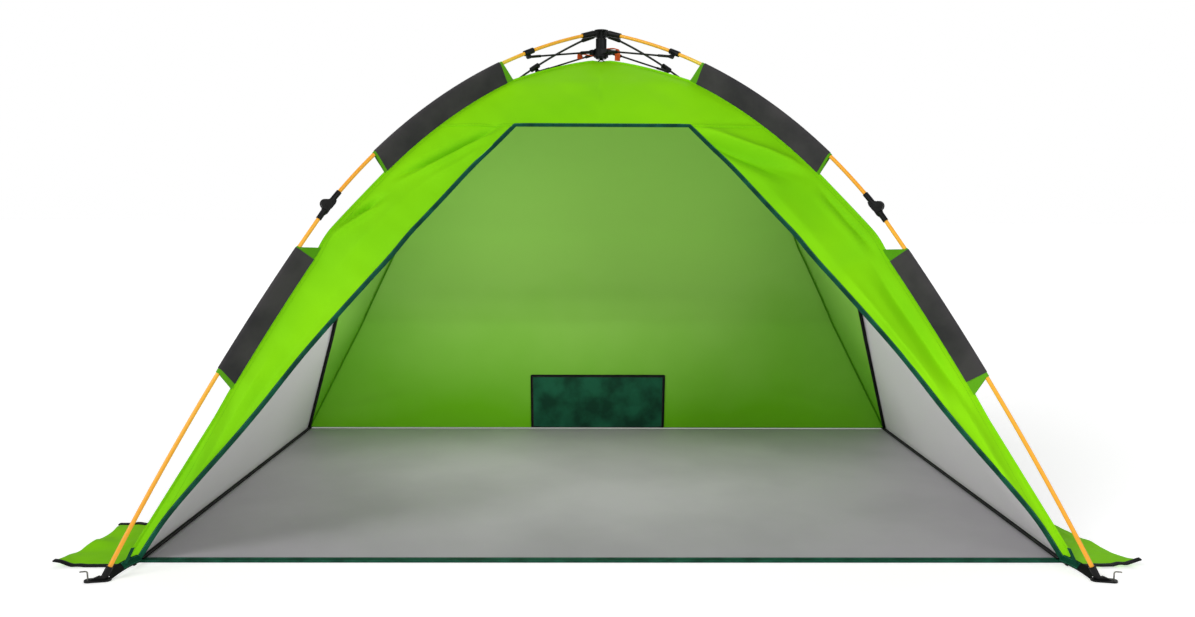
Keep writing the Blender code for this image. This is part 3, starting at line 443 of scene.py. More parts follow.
def grid_mesh(name, rows, spin=None):
    """A smooth mesh from rows of points, each a place and its uv, turned by spin."""
    shape = bmesh.new()
    uv = shape.loops.layers.uv.new("UVMap")
    corners = [[shape.verts.new(place) for place, _ in row] for row in rows]
    for upper, lower, high, low in zip(corners, corners[1:], rows, rows[1:]):
        for column in range(len(upper) - 1):
            face = shape.faces.new((upper[column], lower[column], lower[column + 1], upper[column + 1]))
            places = (high[column], low[column], low[column + 1], high[column + 1])
            for loop, place in zip(face.loops, places):
                loop[uv].uv = place[1]
    bmesh.ops.remove_doubles(shape, verts=shape.verts, dist=MERGE)
    bmesh.ops.dissolve_degenerate(shape, edges=shape.edges, dist=MERGE)
    mesh = bpy.data.meshes.new(name)
    shape.to_mesh(mesh)
    shape.free()
    mesh.shade_smooth()
    if spin:
        mesh.transform(spin)
    return mesh


def settled(thing, angle=math.radians(55.0)):
    """Turn a piece's modifiers into plain mesh, and keep its hard edges hard."""
    depsgraph = bpy.context.evaluated_depsgraph_get()
    done = bpy.data.meshes.new_from_object(thing.evaluated_get(depsgraph))
    thing.modifiers.clear()
    rough = thing.data
    thing.data = done
    bpy.data.meshes.remove(rough)
    done.name = thing.name
    done.shade_smooth()
    done.set_sharp_from_angle(angle=angle)
    return thing


def thicken(thing, thickness):
    """Give a sheet its thickness. Its inner side takes the second finish, where there is one."""
    wall = thing.modifiers.new("thickness", "SOLIDIFY")
    wall.thickness = thickness
    wall.offset = 0.0
    wall.material_offset = len(thing.data.materials) - 1
    return settled(thing)


# How the fold would gather the cloths and all that is sewn to them: direction, place to gather to, and share kept.
# Only the bodies are used, to give their pieces meshes of their own
GATHER = {
    "front_cloth": (OUT, PEAK, 0.2),
    "rear_cloth": (OUT, PEAK, 0.2),
    "left_cloth": (-ACROSS, PEAK, 0.22),
    "right_cloth": (-ACROSS, PEAK, 0.22),
    "floor_front": (OUT, PEAK, 0.2),
    "floor_rear": (OUT, PEAK, 0.2),
    "flap_left": (-ACROSS, PEAK, 0.22),
    "flap_right": (-ACROSS, PEAK, 0.22),
}


def fasten(thing, body):
    """Fasten a finished piece to its body, with a mesh of its own on a body that the fold gathers."""
    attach(thing, body)
    if body in GATHER:
        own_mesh(thing)
    return thing


def sheet(name, rows, finishes, node, body, flat=None, thickness=CLOTH, spin=None):
    """A sheet of cloth in a solid's place, which it hides. Its flat size, given or taken from the box of its UV
    map in metres, is not used.
    """
    thing = thicken(link(grid_mesh(name, rows, spin), *finishes), thickness)
    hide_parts(node)
    fasten(thing, body)
    if flat is None:
        spots = [loop.uv for loop in thing.data.uv_layers.active.data]
        flat = [max(spot[way] for spot in spots) - min(spot[way] for spot in spots) for way in (0, 1)]


def crisp(mesh):
    """Close a tube's ends, turn its faces outwards and keep its edges sharp."""
    shape = bmesh.new()
    shape.from_mesh(mesh)
    bmesh.ops.holes_fill(shape, edges=[edge for edge in shape.edges if edge.is_boundary], sides=0)
    bmesh.ops.recalc_face_normals(shape, faces=shape.faces)
    shape.to_mesh(mesh)
    shape.free()
    mesh.shade_smooth()
    mesh.set_sharp_from_angle(angle=math.radians(50.0))
    return mesh


def band(name, body, path, sides, shape, finish):
    """A solid band along a path. sides lists (inward, normal) for each point, and shape for its outline."""
    rows = []
    reach = 0.0
    for number, (place, (inward, normal)) in enumerate(zip(path, sides)):
        if number:
            reach += (place - path[number - 1]).length
        girth = 0.0
        row = []
        for turn in range(len(shape) + 1):
            a, n = shape[turn % len(shape)]
            if turn:
                before = shape[turn - 1]
                girth += math.hypot(a - before[0], n - before[1])
            row.append((place + a * inward + n * normal, (girth, reach)))
        rows.append(row)
    return fasten(link(crisp(grid_mesh(name, rows)), finish), body)


def tape_shape(width, thickness, overhang=0.0008):
    """A folded tape's outline: round at the fold, which is just beyond the edge, and flat to its width."""
    half = thickness / 2
    return (
        (-overhang, -half * 0.4), (0.0, -half), (width * 0.5, -half * 1.1), (width, -half * 0.8),
        (width, half * 0.8), (width * 0.5, half * 1.1), (0.0, half), (-overhang, half * 0.4),
    )


def flat_shape(half, low=-0.0006, high=0.0006):
    """The outline of flat webbing."""
    return ((-half, low), (half, low), (half, high), (-half, high))


def sides_along(path, normal_at, towards):
    """For each point of a path on a surface, the direction into the cloth and the one out of it."""
    found = []
    for place, run in zip(path, along_line(path)):
        normal = normal_at(place)
        inward = run.cross(normal).normalized()
        if inward.dot(towards(place)) < 0:
            inward.negate()
        found.append((inward, normal))
    return found


# Stitches
STITCH_SIZES = {"Spacing": 0.0038, "Stitch Length": 0.0028, "Thread Width": 0.0007}
SEAM_ROWS = {}


def stitch_tree():
    """Thread stitches along a path: a named set of sizes, and one small rounded stitch set at even steps."""
    tree = bpy.data.node_groups.new("stitch_row", "GeometryNodeTree")
    kinds = {"Path": "Geometry", **{label: "Float" for label in STITCH_SIZES}, "Thread": "Material"}
    sockets = {}
    for label, kind in kinds.items():
        socket = tree.interface.new_socket(label, in_out="INPUT", socket_type="NodeSocket" + kind)
        sockets[label] = socket.identifier
    tree.interface.new_socket("Stitches", in_out="OUTPUT", socket_type="NodeSocketGeometry")
    nodes = {
        label: tree.nodes.new(kind) for label, kind in (
            ("given", "NodeGroupInput"), ("result", "NodeGroupOutput"), ("curve", "GeometryNodeMeshToCurve"),
            ("steps", "GeometryNodeResampleCurve"), ("tangent", "GeometryNodeInputTangent"),
            ("turn", "FunctionNodeAlignRotationToVector"), ("stitch", "GeometryNodeMeshIcoSphere"),
            ("size", "ShaderNodeCombineXYZ"), ("placed", "GeometryNodeInstanceOnPoints"),
            ("real", "GeometryNodeRealizeInstances"), ("finish", "GeometryNodeSetMaterial"),
        )
    }
    nodes["steps"].mode = "LENGTH"
    nodes["turn"].axis = "Z"
    nodes["stitch"].inputs["Radius"].default_value = 0.5
    nodes["stitch"].inputs["Subdivisions"].default_value = 1
    for source, target in (
        ("given.Path", "curve.Mesh"), ("curve.Curve", "steps.Curve"), ("given.Spacing", "steps.Length"),
        ("steps.Curve", "placed.Points"), ("tangent.Tangent", "turn.Vector"),
        ("turn.Rotation", "placed.Rotation"), ("given.Thread Width", "size.X"),
        ("given.Thread Width", "size.Y"), ("given.Stitch Length", "size.Z"),
        ("size.Vector", "placed.Scale"), ("stitch.Mesh", "placed.Instance"),
        ("placed.Instances", "real.Geometry"), ("real.Geometry", "finish.Geometry"),
        ("given.Thread", "finish.Material"), ("finish.Geometry", "result.Stitches"),
    ):
        (giver, output), (taker, socket) = source.split("."), target.split(".")
        tree.links.new(nodes[giver].outputs[output], nodes[taker].inputs[socket])
    return tree, sockets


def sew(body, slot, thread, path):
    """Note a row of stitches, to be made with the others of its body, slot and thread."""
    SEAM_ROWS.setdefault((body, slot, thread.name), []).append(path)


def sew_on(body, slot, thread, path, sides, inward, lift):
    """Note a row of stitches on a band, some way inward on it and lifted from its middle."""
    sew(body, slot, thread, [spot + way * inward + normal * lift for spot, (way, normal) in zip(path, sides)])


def make_stitches():
    tree, sockets = stitch_tree()
    for (body, slot, thread), rows in SEAM_ROWS.items():
        spots = []
        steps = []
        for row in rows:
            steps += [(len(spots) + number, len(spots) + number + 1) for number in range(len(row) - 1)]
            spots += row
        mesh = bpy.data.meshes.new(f"stitches_{body}_{slot}_{thread}")
        mesh.from_pydata(spots, steps, [])
        thing = link(mesh)
        sewing = thing.modifiers.new("stitches", "NODES")
        sewing.node_group = tree
        for label, value in (*STITCH_SIZES.items(), ("Thread", bpy.data.materials[thread])):
            sewing[sockets[label]] = value
        fasten(settled(thing), body)


def taped(name, body, path, sides, width, thickness, finish, slot, thread=None):
    """A folded tape along an edge, sewn down with a row of stitches near its inner side."""
    if thread:
        sew_on(body, slot, thread, path, sides, width * 0.8, thickness / 2 + THREAD_LIFT)
    return band(name, body, path, sides, tape_shape(width, thickness), finish)


# Cloth surfaces, each as a function of a height and a place across
EDGE_STAND = 0.018
FLARE_REACH = 0.019
FLARE_TOP = 0.32


def front_point(side, height):
    """A place on the front cloth, which stands a little forward along the opening's edge."""
    point = ridge_at(height)
    inner = opening_half_width(min(height, OPENING_HEIGHT))
    if height > OPENING_HEIGHT:
        inner *= (PEAK.z - height) / (PEAK.z - OPENING_HEIGHT)
    share = (abs(side) - inner) / max(point.x - inner, MERGE)
    stand = EDGE_STAND * min(1.0, max(1.0 - share, 0.0))
    stand *= eased(height / 0.25) * eased((PEAK.z - height) / 0.16)
    return Vector((side, -point.y - stand, height))


def crease(place, start, end, width, rise):
    """How far a fold between two places lifts the cloth: a soft ridge with a valley beside it."""
    run = end - start
    share = (place - start).dot(run) / run.length_squared
    if not -0.1 < share < 1.1:
        return 0.0
    off = (place - start).cross(run) / run.length / width
    taper = eased((share + 0.1) / 0.35) * eased((1.1 - share) / 0.5)
    return rise * taper * (math.exp(-abs(off) ** 1.4) - 0.5 * math.exp(-((off - 1.8) ** 2)))


# start and end as (side, up), width and rise of each fold, a valley where the rise is negative
LEFT_CREASES = (
    ((0.262, 0.998), (0.505, 0.866), 0.0085, -0.02),
    ((0.262, 0.955), (0.45, 0.842), 0.018, 0.009),
    ((0.53, 0.818), (0.735, 0.69), 0.0085, -0.019),
    ((0.44, 0.85), (0.64, 0.64), 0.028, 0.0085),
    ((0.6, 0.62), (0.83, 0.3), 0.024, -0.0075),
    ((0.75, 0.47), (0.955, 0.11), 0.018, 0.0065),
)
RIGHT_CREASES = (
    ((0.24, 0.996), (0.515, 0.892), 0.013, 0.016),
    ((0.245, 0.975), (0.46, 0.865), 0.016, -0.012),
    ((0.38, 0.87), (0.57, 0.64), 0.026, 0.008),
    ((0.53, 0.845), (0.65, 0.69), 0.012, -0.009),
    ((0.57, 0.64), (0.79, 0.34), 0.016, 0.013),
    ((0.64, 0.66), (0.845, 0.33), 0.02, -0.014),
    ((0.8, 0.38), (0.98, 0.06), 0.015, 0.0095),
)
VISOR_CREASES = (
    ((-0.2, 1.15), (-0.42, 1.02), 0.02, 0.003),
    ((0.12, 1.16), (0.36, 1.03), 0.024, 0.0026),
    ((-0.02, 1.15), (0.02, 1.01), 0.03, -0.002),
    ((0.22, 1.004), (0.4, 1.016), 0.011, -0.005),
)
REAR_CREASES = (
    ((-0.8, 0.3), (-0.35, 0.55), 0.03, 0.003),
    ((0.82, 0.28), (0.4, 0.6), 0.034, 0.0026),
    ((-0.3, 0.95), (-0.1, 0.6), 0.03, 0.002),
    ((0.28, 0.98), (0.12, 0.58), 0.03, -0.002),
    ((-0.95, 0.06), (-0.6, 0.16), 0.016, 0.003),
    ((0.96, 0.06), (0.62, 0.15), 0.016, 0.0026),
)
SIDE_CREASES = (
    ((0.05, 1.02), (0.2, 0.55), 0.03, 0.003),
    ((-0.1, 0.86), (0.3, 0.3), 0.034, -0.003),
    ((-0.3, 0.6), (-0.52, 0.1), 0.026, 0.0026),
)


def folds(across, height, creases):
    place = Vector((across, height))
    return sum(crease(place, Vector(start), Vector(end), width, rise) for start, end, width, rise in creases)


def slack(depth, *place):
    """Soft uneven rise of the cloth, up to a depth."""
    return depth * noise.noise(Vector(place))


def front_lift(side, height):
    """The front cloth's folds and slack, which fade out at the ridge and at the opening's edge."""
    out = abs(side)
    if height < OPENING_HEIGHT:
        off_edge = out - opening_half_width(height)
    else:
        off_edge = math.hypot(max(out - opening_half_width(OPENING_HEIGHT), 0.0), height - OPENING_HEIGHT)
    rise = folds(side, height, VISOR_CREASES) + slack(0.003, side * 5.0, height * 4.0, 3.0)
    if out > 0.23:
        rise += folds(out, height, RIGHT_CREASES if side > 0 else LEFT_CREASES)
    slope = out * 0.8 + height * 0.6
    across = out * 0.6 - height * 0.8
    rise += slack(0.0022, across * 26.0, slope * 3.0, 9.0 + math.copysign(4.0, side))
    return rise * eased((ridge_at(height).x - out) / 0.035) * eased(off_edge / 0.03)


def wall_normal(height, axis):
    """The outward direction of the front (axis 1) or right side (axis 0) wall at a height."""
    above = ridge_at(height + 0.004)
    below = ridge_at(height - 0.004)
    run = above[axis] - below[axis]
    rise = max(above.z - below.z, MERGE)
    normal = Vector((rise, -run)).normalized()
    return Vector((0.0, -normal.x, normal.y)) if axis == 1 else Vector((normal.x, 0.0, normal.y))


def side_normal(side, height):
    normal = wall_normal(height, 0)
    normal.x *= side
    return normal


def arc_down(heights, axis):
    """How far each height lies down the wall, measured on the wall."""
    found = [0.0]
    for above, below in zip(heights, heights[1:]):
        found.append(found[-1] + math.hypot(ridge_at(above)[axis] - ridge_at(below)[axis], above - below))
    return found


def flare(height):
    """How far the front cloth goes on past the ridge seam below the lower sleeve."""
    return FLARE_REACH * max(1.0 - height / FLARE_TOP, 0.0)


def front_surface(side, height, lift=0.0):
    """A place on the folded front cloth, or a little above it."""
    return front_point(side, height) + (front_lift(side, height) + lift) * wall_normal(height, 1)


def front_piece(name, heights, columns, ends_at, flat=None):
    """A part of the front cloth, between the ends that ends_at gives for each height."""
    rows = []
    for height, down in zip(heights, arc_down(heights, 1)):
        first, last = sorted(ends_at(height))
        rows.append([(front_surface(side, height), (side, -down)) for side in spaced(first, last, columns)])
    sheet(
        name, rows, (GREEN, GREEN_INSIDE_LIT_THROUGH), "front_panel", "front_cloth",
        flat,
    )


def make_front():
    """The front: the visor above the opening, and a strip down each side of it."""
    heights = ridge_heights(300, (OPENING_HEIGHT,))
    high = [height for height in heights if height >= OPENING_HEIGHT]
    low = [height for height in heights if height <= OPENING_HEIGHT]
    front_piece("visor_cloth", high, 96, lambda height: (-ridge_at(height).x, ridge_at(height).x))
    for name, side in SIDES:

        def ends_at(height, side=side):
            return side * (ridge_at(height).x + flare(height)), side * opening_half_width(height)

        front_piece("front_strip_cloth_" + name, low, 56, ends_at, (0.24, 1.3))


def make_rear():
    heights = ridge_heights(120)
    rows = []
    for height, down in zip(heights, arc_down(heights, 1)):
        point = ridge_at(height)
        normal = wall_normal(height, 1)
        normal.y = -normal.y
        row = []
        for side in spaced(-point.x, point.x, 56):
            rise = folds(side, height, REAR_CREASES) + slack(0.0035, side * 3.0, height * 3.0, 21.0)
            rise *= eased((point.x - abs(side)) / 0.05) * eased((height - 0.02) / 0.06)
            rise *= eased((PEAK.z - height) / 0.1)
            row.append((Vector((-side, point.y, height)) + rise * normal, (-side, -down)))
        rows.append(row)
    sheet(
        "rear_cloth_sheet", rows, (GREEN, GREEN_INSIDE_LIT_THROUGH), "rear_wall", "rear_cloth",
    )


def seam_end(height):
    """How far back the seam between the green and the grey cloth lies at a height."""
    rear = HALF_DEPTH - SEAM_REAR_STEP
    front = ridge_at(SEAM_HEIGHT).y
    return rear - (rear + front) * min(height / SEAM_HEIGHT, 1.0)


def side_place(side, end, height):
    """A place on a side wall, with its folds, which fade out at its edges and at its seam."""
    point = ridge_at(height)
    rise = slack(0.0038, end * 4.0, height * 4.0, 31.0 + side * 7) + folds(end, height, SIDE_CREASES)
    rise *= eased((point.y - abs(end)) / 0.04) * eased((height - 0.01) / 0.05)
    if height < SEAM_HEIGHT:
        rise *= eased(abs(end - max(seam_end(height), -point.y)) / 0.03)
    return Vector((side * point.x, end, height)) + rise * side_normal(side, height)


def make_sides():
    """The side walls: green cloth, and the grey cloth in front of and below its slanting seam."""
    for name, side in SIDES:
        for kind, node, finishes in (
            ("green", name + "_wall", (GREEN, GREEN_INSIDE_LIT_THROUGH)),
            ("grey", name + "_mesh_panel", (GREY_SIDE, GREY_INSIDE_LIT_THROUGH)),
        ):
            heights = ridge_heights(110, (SEAM_HEIGHT,))
            if kind == "grey":
                heights = [height for height in heights if height <= SEAM_HEIGHT]
            rows = []
            for height, down in zip(heights, arc_down(heights, 0)):
                reach = ridge_at(height).y
                seam = max(seam_end(height), -reach) if height < SEAM_HEIGHT else -reach
                ends = spaced(*((-reach, seam) if kind == "grey" else (seam, reach)), 34)
                rows.append([(side_place(side, end, height), (end, -down)) for end in ends[::side]])
            sheet(
                f"{name}_{kind}_side_sheet", rows, finishes, node, name + "_cloth",
            )


def floor_lift(side, end):
    rise = 0.0012 + slack(0.0012, side * 2.5, end * 3.0, 5.0) + slack(0.0006, side * 9.0, end * 11.0, 6.0)
    edge = min(HALF_WIDTH - abs(side), HALF_DEPTH - abs(end))
    return 0.0006 + max(rise, 0.0) * eased(edge / 0.06)


def make_floor():
    """The floor sheet in two halves that meet at the crease in the middle."""
    for name, first, last in (("floor_front", -HALF_DEPTH, 0.0), ("floor_rear", 0.0, HALF_DEPTH)):
        rows = []
        for end in spaced(last, first, 34):
            sides = spaced(-HALF_WIDTH, HALF_WIDTH, 100)
            rows.append([(Vector((side, end, floor_lift(side, end))), (side, end)) for side in sides])
        sheet(name + "_sheet", rows, (FLOOR_SHEET,), name, name)


# Tapes and seams
def make_opening_tape():
    """The dark green tape folded over the opening's edge, up one side, over the top and down the other."""
    heights = spaced(FLOOR_TOP + 0.004, OPENING_HEIGHT, 70)
    rise = [front_point(opening_half_width(height), height) for height in heights]
    top = [front_point(side, OPENING_HEIGHT) for side in spaced(rise[-1].x, -rise[-1].x, 20)][1:-1]
    fall = [Vector((-place.x, place.y, place.z)) for place in reversed(rise)]
    path = rise + top + fall

    def towards(place):
        return Vector((math.copysign(1.0, place.x), 0.0, 0.3)) if place.z < OPENING_HEIGHT - 0.001 else UP

    sides = sides_along(path, lambda place: wall_normal(place.z, 1), towards)
    taped("opening_tape", "front_cloth", path, sides, 0.0105, TAPE, *GREEN_TRIM)


def make_front_band():
    """The wide dark green tape along the floor's front edge, with two rows of stitches."""
    inset = 0.004
    path = []
    for side in spaced(-HALF_WIDTH + inset, HALF_WIDTH - inset, 60):
        path.append(Vector((side, -HALF_DEPTH, FLOOR_TOP)))
    sides = [(-ACROSS, UP)] * len(path)
    taped("floor_front_tape", "floor_front", path, sides, 0.026, 0.0026, *GREEN_TRIM)
    sew_on("floor_front", *GREEN_TRIM[1:], path, sides, 0.004, 0.0014)


def make_floor_seams():
    """The seams where the walls meet the floor: black down each side, in two halves, and grey at the rear."""
    inset = 0.003
    for name, side in SIDES:
        lean = Vector((-side * 0.98, 0.0, 0.12)).normalized()
        normal = Vector((side * 0.12, 0.0, 0.98)).normalized()
        for half, first, last in (("front", -HALF_DEPTH + 0.012, -0.0005), ("rear", 0.0005, HALF_DEPTH)):
            path = [Vector((side * (HALF_WIDTH - inset), end, 0.0044)) for end in spaced(first, last, 24)]
            taped(
                f"floor_seam_{name}_{half}", "floor_" + half, path, [(lean, normal)] * len(path),
                0.015, 0.003, *BLACK_TRIM,
            )
    path = [Vector((side, HALF_DEPTH - inset, 0.004)) for side in spaced(-HALF_WIDTH, HALF_WIDTH, 60)]
    sides = [(Vector((0.0, -0.95, 0.3)).normalized(), Vector((0.0, 0.3, 0.95)).normalized())] * len(path)
    taped("floor_seam_rear", "floor_rear", path, sides, 0.006, 0.0024, FLOOR_SHEET, "grey_floor_sheet")


def make_side_seams():
    """The bound seam between the green and the grey side cloth, which stands a little into the cabin."""
    for name, side in SIDES:
        body = name + "_cloth"
        path = []
        sides = []
        for height in spaced(SEAM_HEIGHT - 0.004, 0.012, 70):
            path.append(Vector((side * ridge_at(height).x, seam_end(height), height)))
        for place, run in zip(path, along_line(path)):
            stand = (-side_normal(side, place.z) * 0.9 + ACROSS * 0.3).normalized()
            sides.append((stand, run.cross(stand).normalized()))
        taped("side_piping_" + name, body, path, sides, 0.0115, 0.0034, *BLACK_TRIM)
        for step, slot, thread in (
            (-0.006, "grey_side_cloth", GREY_THREAD), (0.006, "green_cloth", GREEN_THREAD),
        ):
            row = []
            for height in spaced(SEAM_HEIGHT - 0.02, 0.012, 60):
                lift = side_normal(side, height) * (CLOTH / 2 + THREAD_LIFT)
                row.append(side_place(side, seam_end(height) + step, height) + lift)
            sew(body, slot, thread, row)


def make_ridge_seams():
    """The narrow hem that stands on each ridge, under the sleeves, and the stitches beside the front ones."""
    for corner, turn in TURNS.items():
        side, end = signs(corner)
        front = end < 0
        body = "front_cloth" if front else "rear_cloth"
        line = [RIDGE[0].lerp(RIDGE[-1], 0.004)] + resampled(RIDGE, 180)[1:]
        path = [Vector((side * (p.x + (flare(p.z) if front else 0.0)), end * p.y, p.z)) for p in line]
        across = UP.cross(Matrix.Rotation(turn, 3, "Z") @ OUT).normalized()
        sides = []
        for place, run in zip(path, along_line(path)):
            rise = run.cross(across).normalized()
            if rise.z < 0:
                rise.negate()
            sides.append((rise * eased(place.xy.length / 0.035), across))
        shape = tape_shape(0.005, 0.0024, 0.0012)
        if front:
            row = []
            for height in spaced(PEAK.z - 0.03, 0.02, 90):
                reach = ridge_at(height).x - 0.01
                if reach > 0.0:
                    row.append(front_surface(side * reach, height, CLOTH / 2 + THREAD_LIFT))
            sew(body, "green_cloth", GREEN_THREAD, row)
        band("ridge_hem_" + corner, body, path, sides, shape, GREEN)


def make_inner_seams():
    """The seam allowance that shows inside, where the rear wall meets each side wall, drawn in the darker green of
    painted shade.
    """
    for name, side in SIDES:
        line = [p for p in resampled(RIDGE, 120) if 0.008 < p.z < PEAK.z - 0.02]
        path = [Vector((side * (p.x - 0.004), p.y - 0.004, p.z - 0.002)) for p in line]
        into = Vector((-side * 1.0, -0.4, 0.0)).normalized()
        sides = []
        for run in along_line(path):
            normal = run.cross(into).normalized()
            inward = normal.cross(run)
            sides.append((inward.normalized() if inward.dot(into) > 0 else into, normal))
        shape = tape_shape(0.0045, 0.0016, 0.0006)
        band("inner_seam_" + name, "rear_cloth", path, sides, shape, SHADED_GREEN)


def make_visor_seams():
    """The flat seam from each upper corner of the opening out to the ridge, with two rows of stitches."""
    first = opening_half_width(OPENING_HEIGHT) + 0.01
    last = ridge_at(OPENING_HEIGHT).x - 0.004
    normal = wall_normal(OPENING_HEIGHT, 1)
    for name, side in SIDES:
        path = [front_surface(side * along, OPENING_HEIGHT, 0.0008) for along in spaced(first, last, 40)]
        sides = [(-OUT.cross(normal).normalized(), normal)] * len(path)
        shape = tape_shape(0.008, 0.0014, 0.0004)
        band("visor_seam_" + name, "front_cloth", path, sides, shape, GREEN)
        for step in (0.0015, 0.0065):
            sew_on("front_cloth", "green_cloth", GREEN_THREAD, path, sides, step, 0.0009)


# Pocket, flaps and corners
def make_pocket():
    """The pocket on the rear wall, slack in its middle and taped round its edge."""
    low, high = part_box("mesh_pocket")
    width, top, base = high.x, high.z, low.z

    def place(side, height):
        off_edge = width - abs(side)
        bulge = 0.0045 * math.sin(math.pi * (height - base) / (top - base)) ** 0.7 * eased(off_edge / 0.05)
        bulge += slack(0.0016, side * 16.0, height * 14.0, 44.0) * eased(off_edge / 0.02)
        return Vector((side, ridge_at(height).y - 0.003 - max(bulge, 0.0), height))

    rows = []
    for height in spaced(top, base, 26):
        rows.append([(place(side, height), (side, height)) for side in spaced(-width, width, 60)])
    sheet(
        "pocket_sheet", rows, (POCKET,), "mesh_pocket", "rear_cloth",
        thickness=0.0006,
    )
    corner = 0.004
    heights = spaced(top - corner, base, 20)
    line = [place(-width, height) for height in reversed(heights)]
    line += [place(side, top) for side in spaced(-width + corner, width - corner, 40)]
    line += [place(width, height) for height in heights]
    middle = (top + base) / 2
    sides = sides_along(line, lambda _: ACROSS, lambda spot: Vector((-spot.x, 0.0, middle - spot.z)))
    taped("pocket_tape", "rear_cloth", line, sides, 0.0085, 0.0024, *BLACK_TRIM)
    line = [place(side, base + 0.001) for side in spaced(-width, width, 40)]
    taped("pocket_foot_tape", "rear_cloth", line, [(UP, ACROSS)] * len(line), 0.007, 0.0022, *BLACK_TRIM[:2])


FLAP_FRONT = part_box("ground_flap_left")[0].y
FLAP_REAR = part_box("ground_flap_left")[1].y
FLAP_CORNER_LIFT = 0.012
# How far each flap reaches outwards, as (share of the way back, reach)
LEFT_FLAP_REACH = (
    (0.0, 0.165), (0.1, 0.158), (0.24, 0.163), (0.38, 0.158), (0.5, 0.149),
    (0.64, 0.152), (0.78, 0.143), (0.9, 0.148), (1.0, 0.158),
)
RIGHT_FLAP_REACH = (
    (0.0, 0.152), (0.12, 0.14), (0.3, 0.128), (0.5, 0.118), (0.7, 0.104), (0.86, 0.094), (1.0, 0.09),
)


def reach_at(table, share):
    for (here, near), (there, far) in zip(table, table[1:]):
        if share <= there:
            return near + (far - near) * eased((share - here) / (there - here))
    return table[-1][1]


def make_flaps():
    """The cloth flaps on the ground outside the front corners, rippled, with a taped front and rear edge."""
    for name, side, table, wave, tilt in (
        ("left", -1, LEFT_FLAP_REACH, 0.007, 0.0), ("right", 1, RIGHT_FLAP_REACH, 0.002, 0.004),
    ):

        def place(share, across, side=side, table=table, wave=wave, tilt=tilt):
            lift = max(slack(0.005, side * across * 5.0, share * 5.0, 50.0), 0.0)
            lift += wave * across ** 2 * math.sin(math.pi * 3 * share) ** 2 + tilt * across
            lift += FLAP_CORNER_LIFT * max(across - 0.75, 0.0) * 4 * eased(1 - share * 6)
            out = HALF_WIDTH + 0.0006 + reach_at(table, share) * across
            end = FLAP_FRONT + (FLAP_REAR - FLAP_FRONT) * share
            return Vector((side * out, end, 0.0008 + lift * eased(across * 4)))

        rows = []
        for share in spaced(0.0, 1.0, 30):
            spots = [place(share, across) for across in spaced(0.0, 1.0, 20)]
            rows.append([(spot, (spot.x, spot.y)) for spot in spots[::-side]])
        body = "flap_" + name
        node = "ground_flap_" + name
        finishes = (GREEN, GREEN)
        sheet("ground_flap_sheet_" + name, rows, finishes, node, body)
        for edge, share, inward in (("front", 0.0, -ACROSS), ("rear", 1.0, ACROSS)):
            path = [place(share, across) + UP * 0.0014 for across in spaced(0.02, 1.0, 24)]
            sides = [(inward, UP)] * len(path)
            taped(f"flap_tape_{name}_{edge}", body, path, sides, 0.012, 0.0036, *BLACK_TRIM)


STRAP_HALF = {-1: 0.0095, 1: 0.0065}
WEBBING_HALF = 0.0085
LOOSE_END_HALF = 0.0036
LOOSE_END_HEIGHTS = (0.0, 0.013, 0.026, 0.038)


def make_corners():
    """The black webbing that ties each corner to its foot, with green webbing sewn over it at the front."""
    for corner, turn in TURNS.items():
        side, end = signs(corner)
        body = "lower_" + corner
        foot_place = Matrix.Rotation(turn, 3, "Z") @ (OUT * foot.x)
        start = Vector((side * (HALF_WIDTH - 0.01), end * (HALF_DEPTH - 0.004), 0.0095))
        stop = Vector((foot_place.x - side * 0.012, foot_place.y - end * 0.004, 0.01))
        run = stop - start
        rise = 0.0035
        path = [start + run * way + UP * (rise * math.sin(math.pi * way)) for way in spaced(0.0, 1.0, 14)]
        level = run.cross(UP).normalized()
        if level.y * end > 0:
            level.negate()
        across = (level * 0.6 + UP * 0.8).normalized()
        face = across.cross(run).normalized()
        if face.z < 0:
            face.negate()
        sides = [(across, face)] * len(path)
        half = STRAP_HALF[end]
        band("corner_strap_" + corner, body, path, sides, flat_shape(half), BLACK_TAPE)
        ring = flat_shape(half + 0.0022, -0.0016, 0.0018)
        place = [spot + face * 0.0004 for spot in path[3:5]]
        band("strap_slider_" + corner, body, place, sides, ring, BLACK_PLASTIC)
        if end > 0:
            continue
        over = [spot + face * 0.0016 for spot in path[:9]]
        shape = flat_shape(WEBBING_HALF)
        band("corner_webbing_" + corner, body, over, sides, shape, GREEN_TAPE)
        for inward in (-0.006, 0.006):
            sew_on(body, "dark_green_mesh", TEAL_THREAD_HIGHLIGHT, over, sides, inward, 0.0007)
        lean = Vector((-side * 0.5, 0.0, 1.0))
        loose = smooth_line([over[-2] + lean * height for height in LOOSE_END_HEIGHTS], 5)
        broad = Vector((0.8, -0.6 * side, 0.0)).normalized()
        sides = [(broad, run.cross(broad)) for run in along_line(loose)]
        shape = flat_shape(LOOSE_END_HALF, -0.0005, 0.0005)
        band("webbing_end_" + corner, body, loose, sides, shape, GREEN_TAPE)


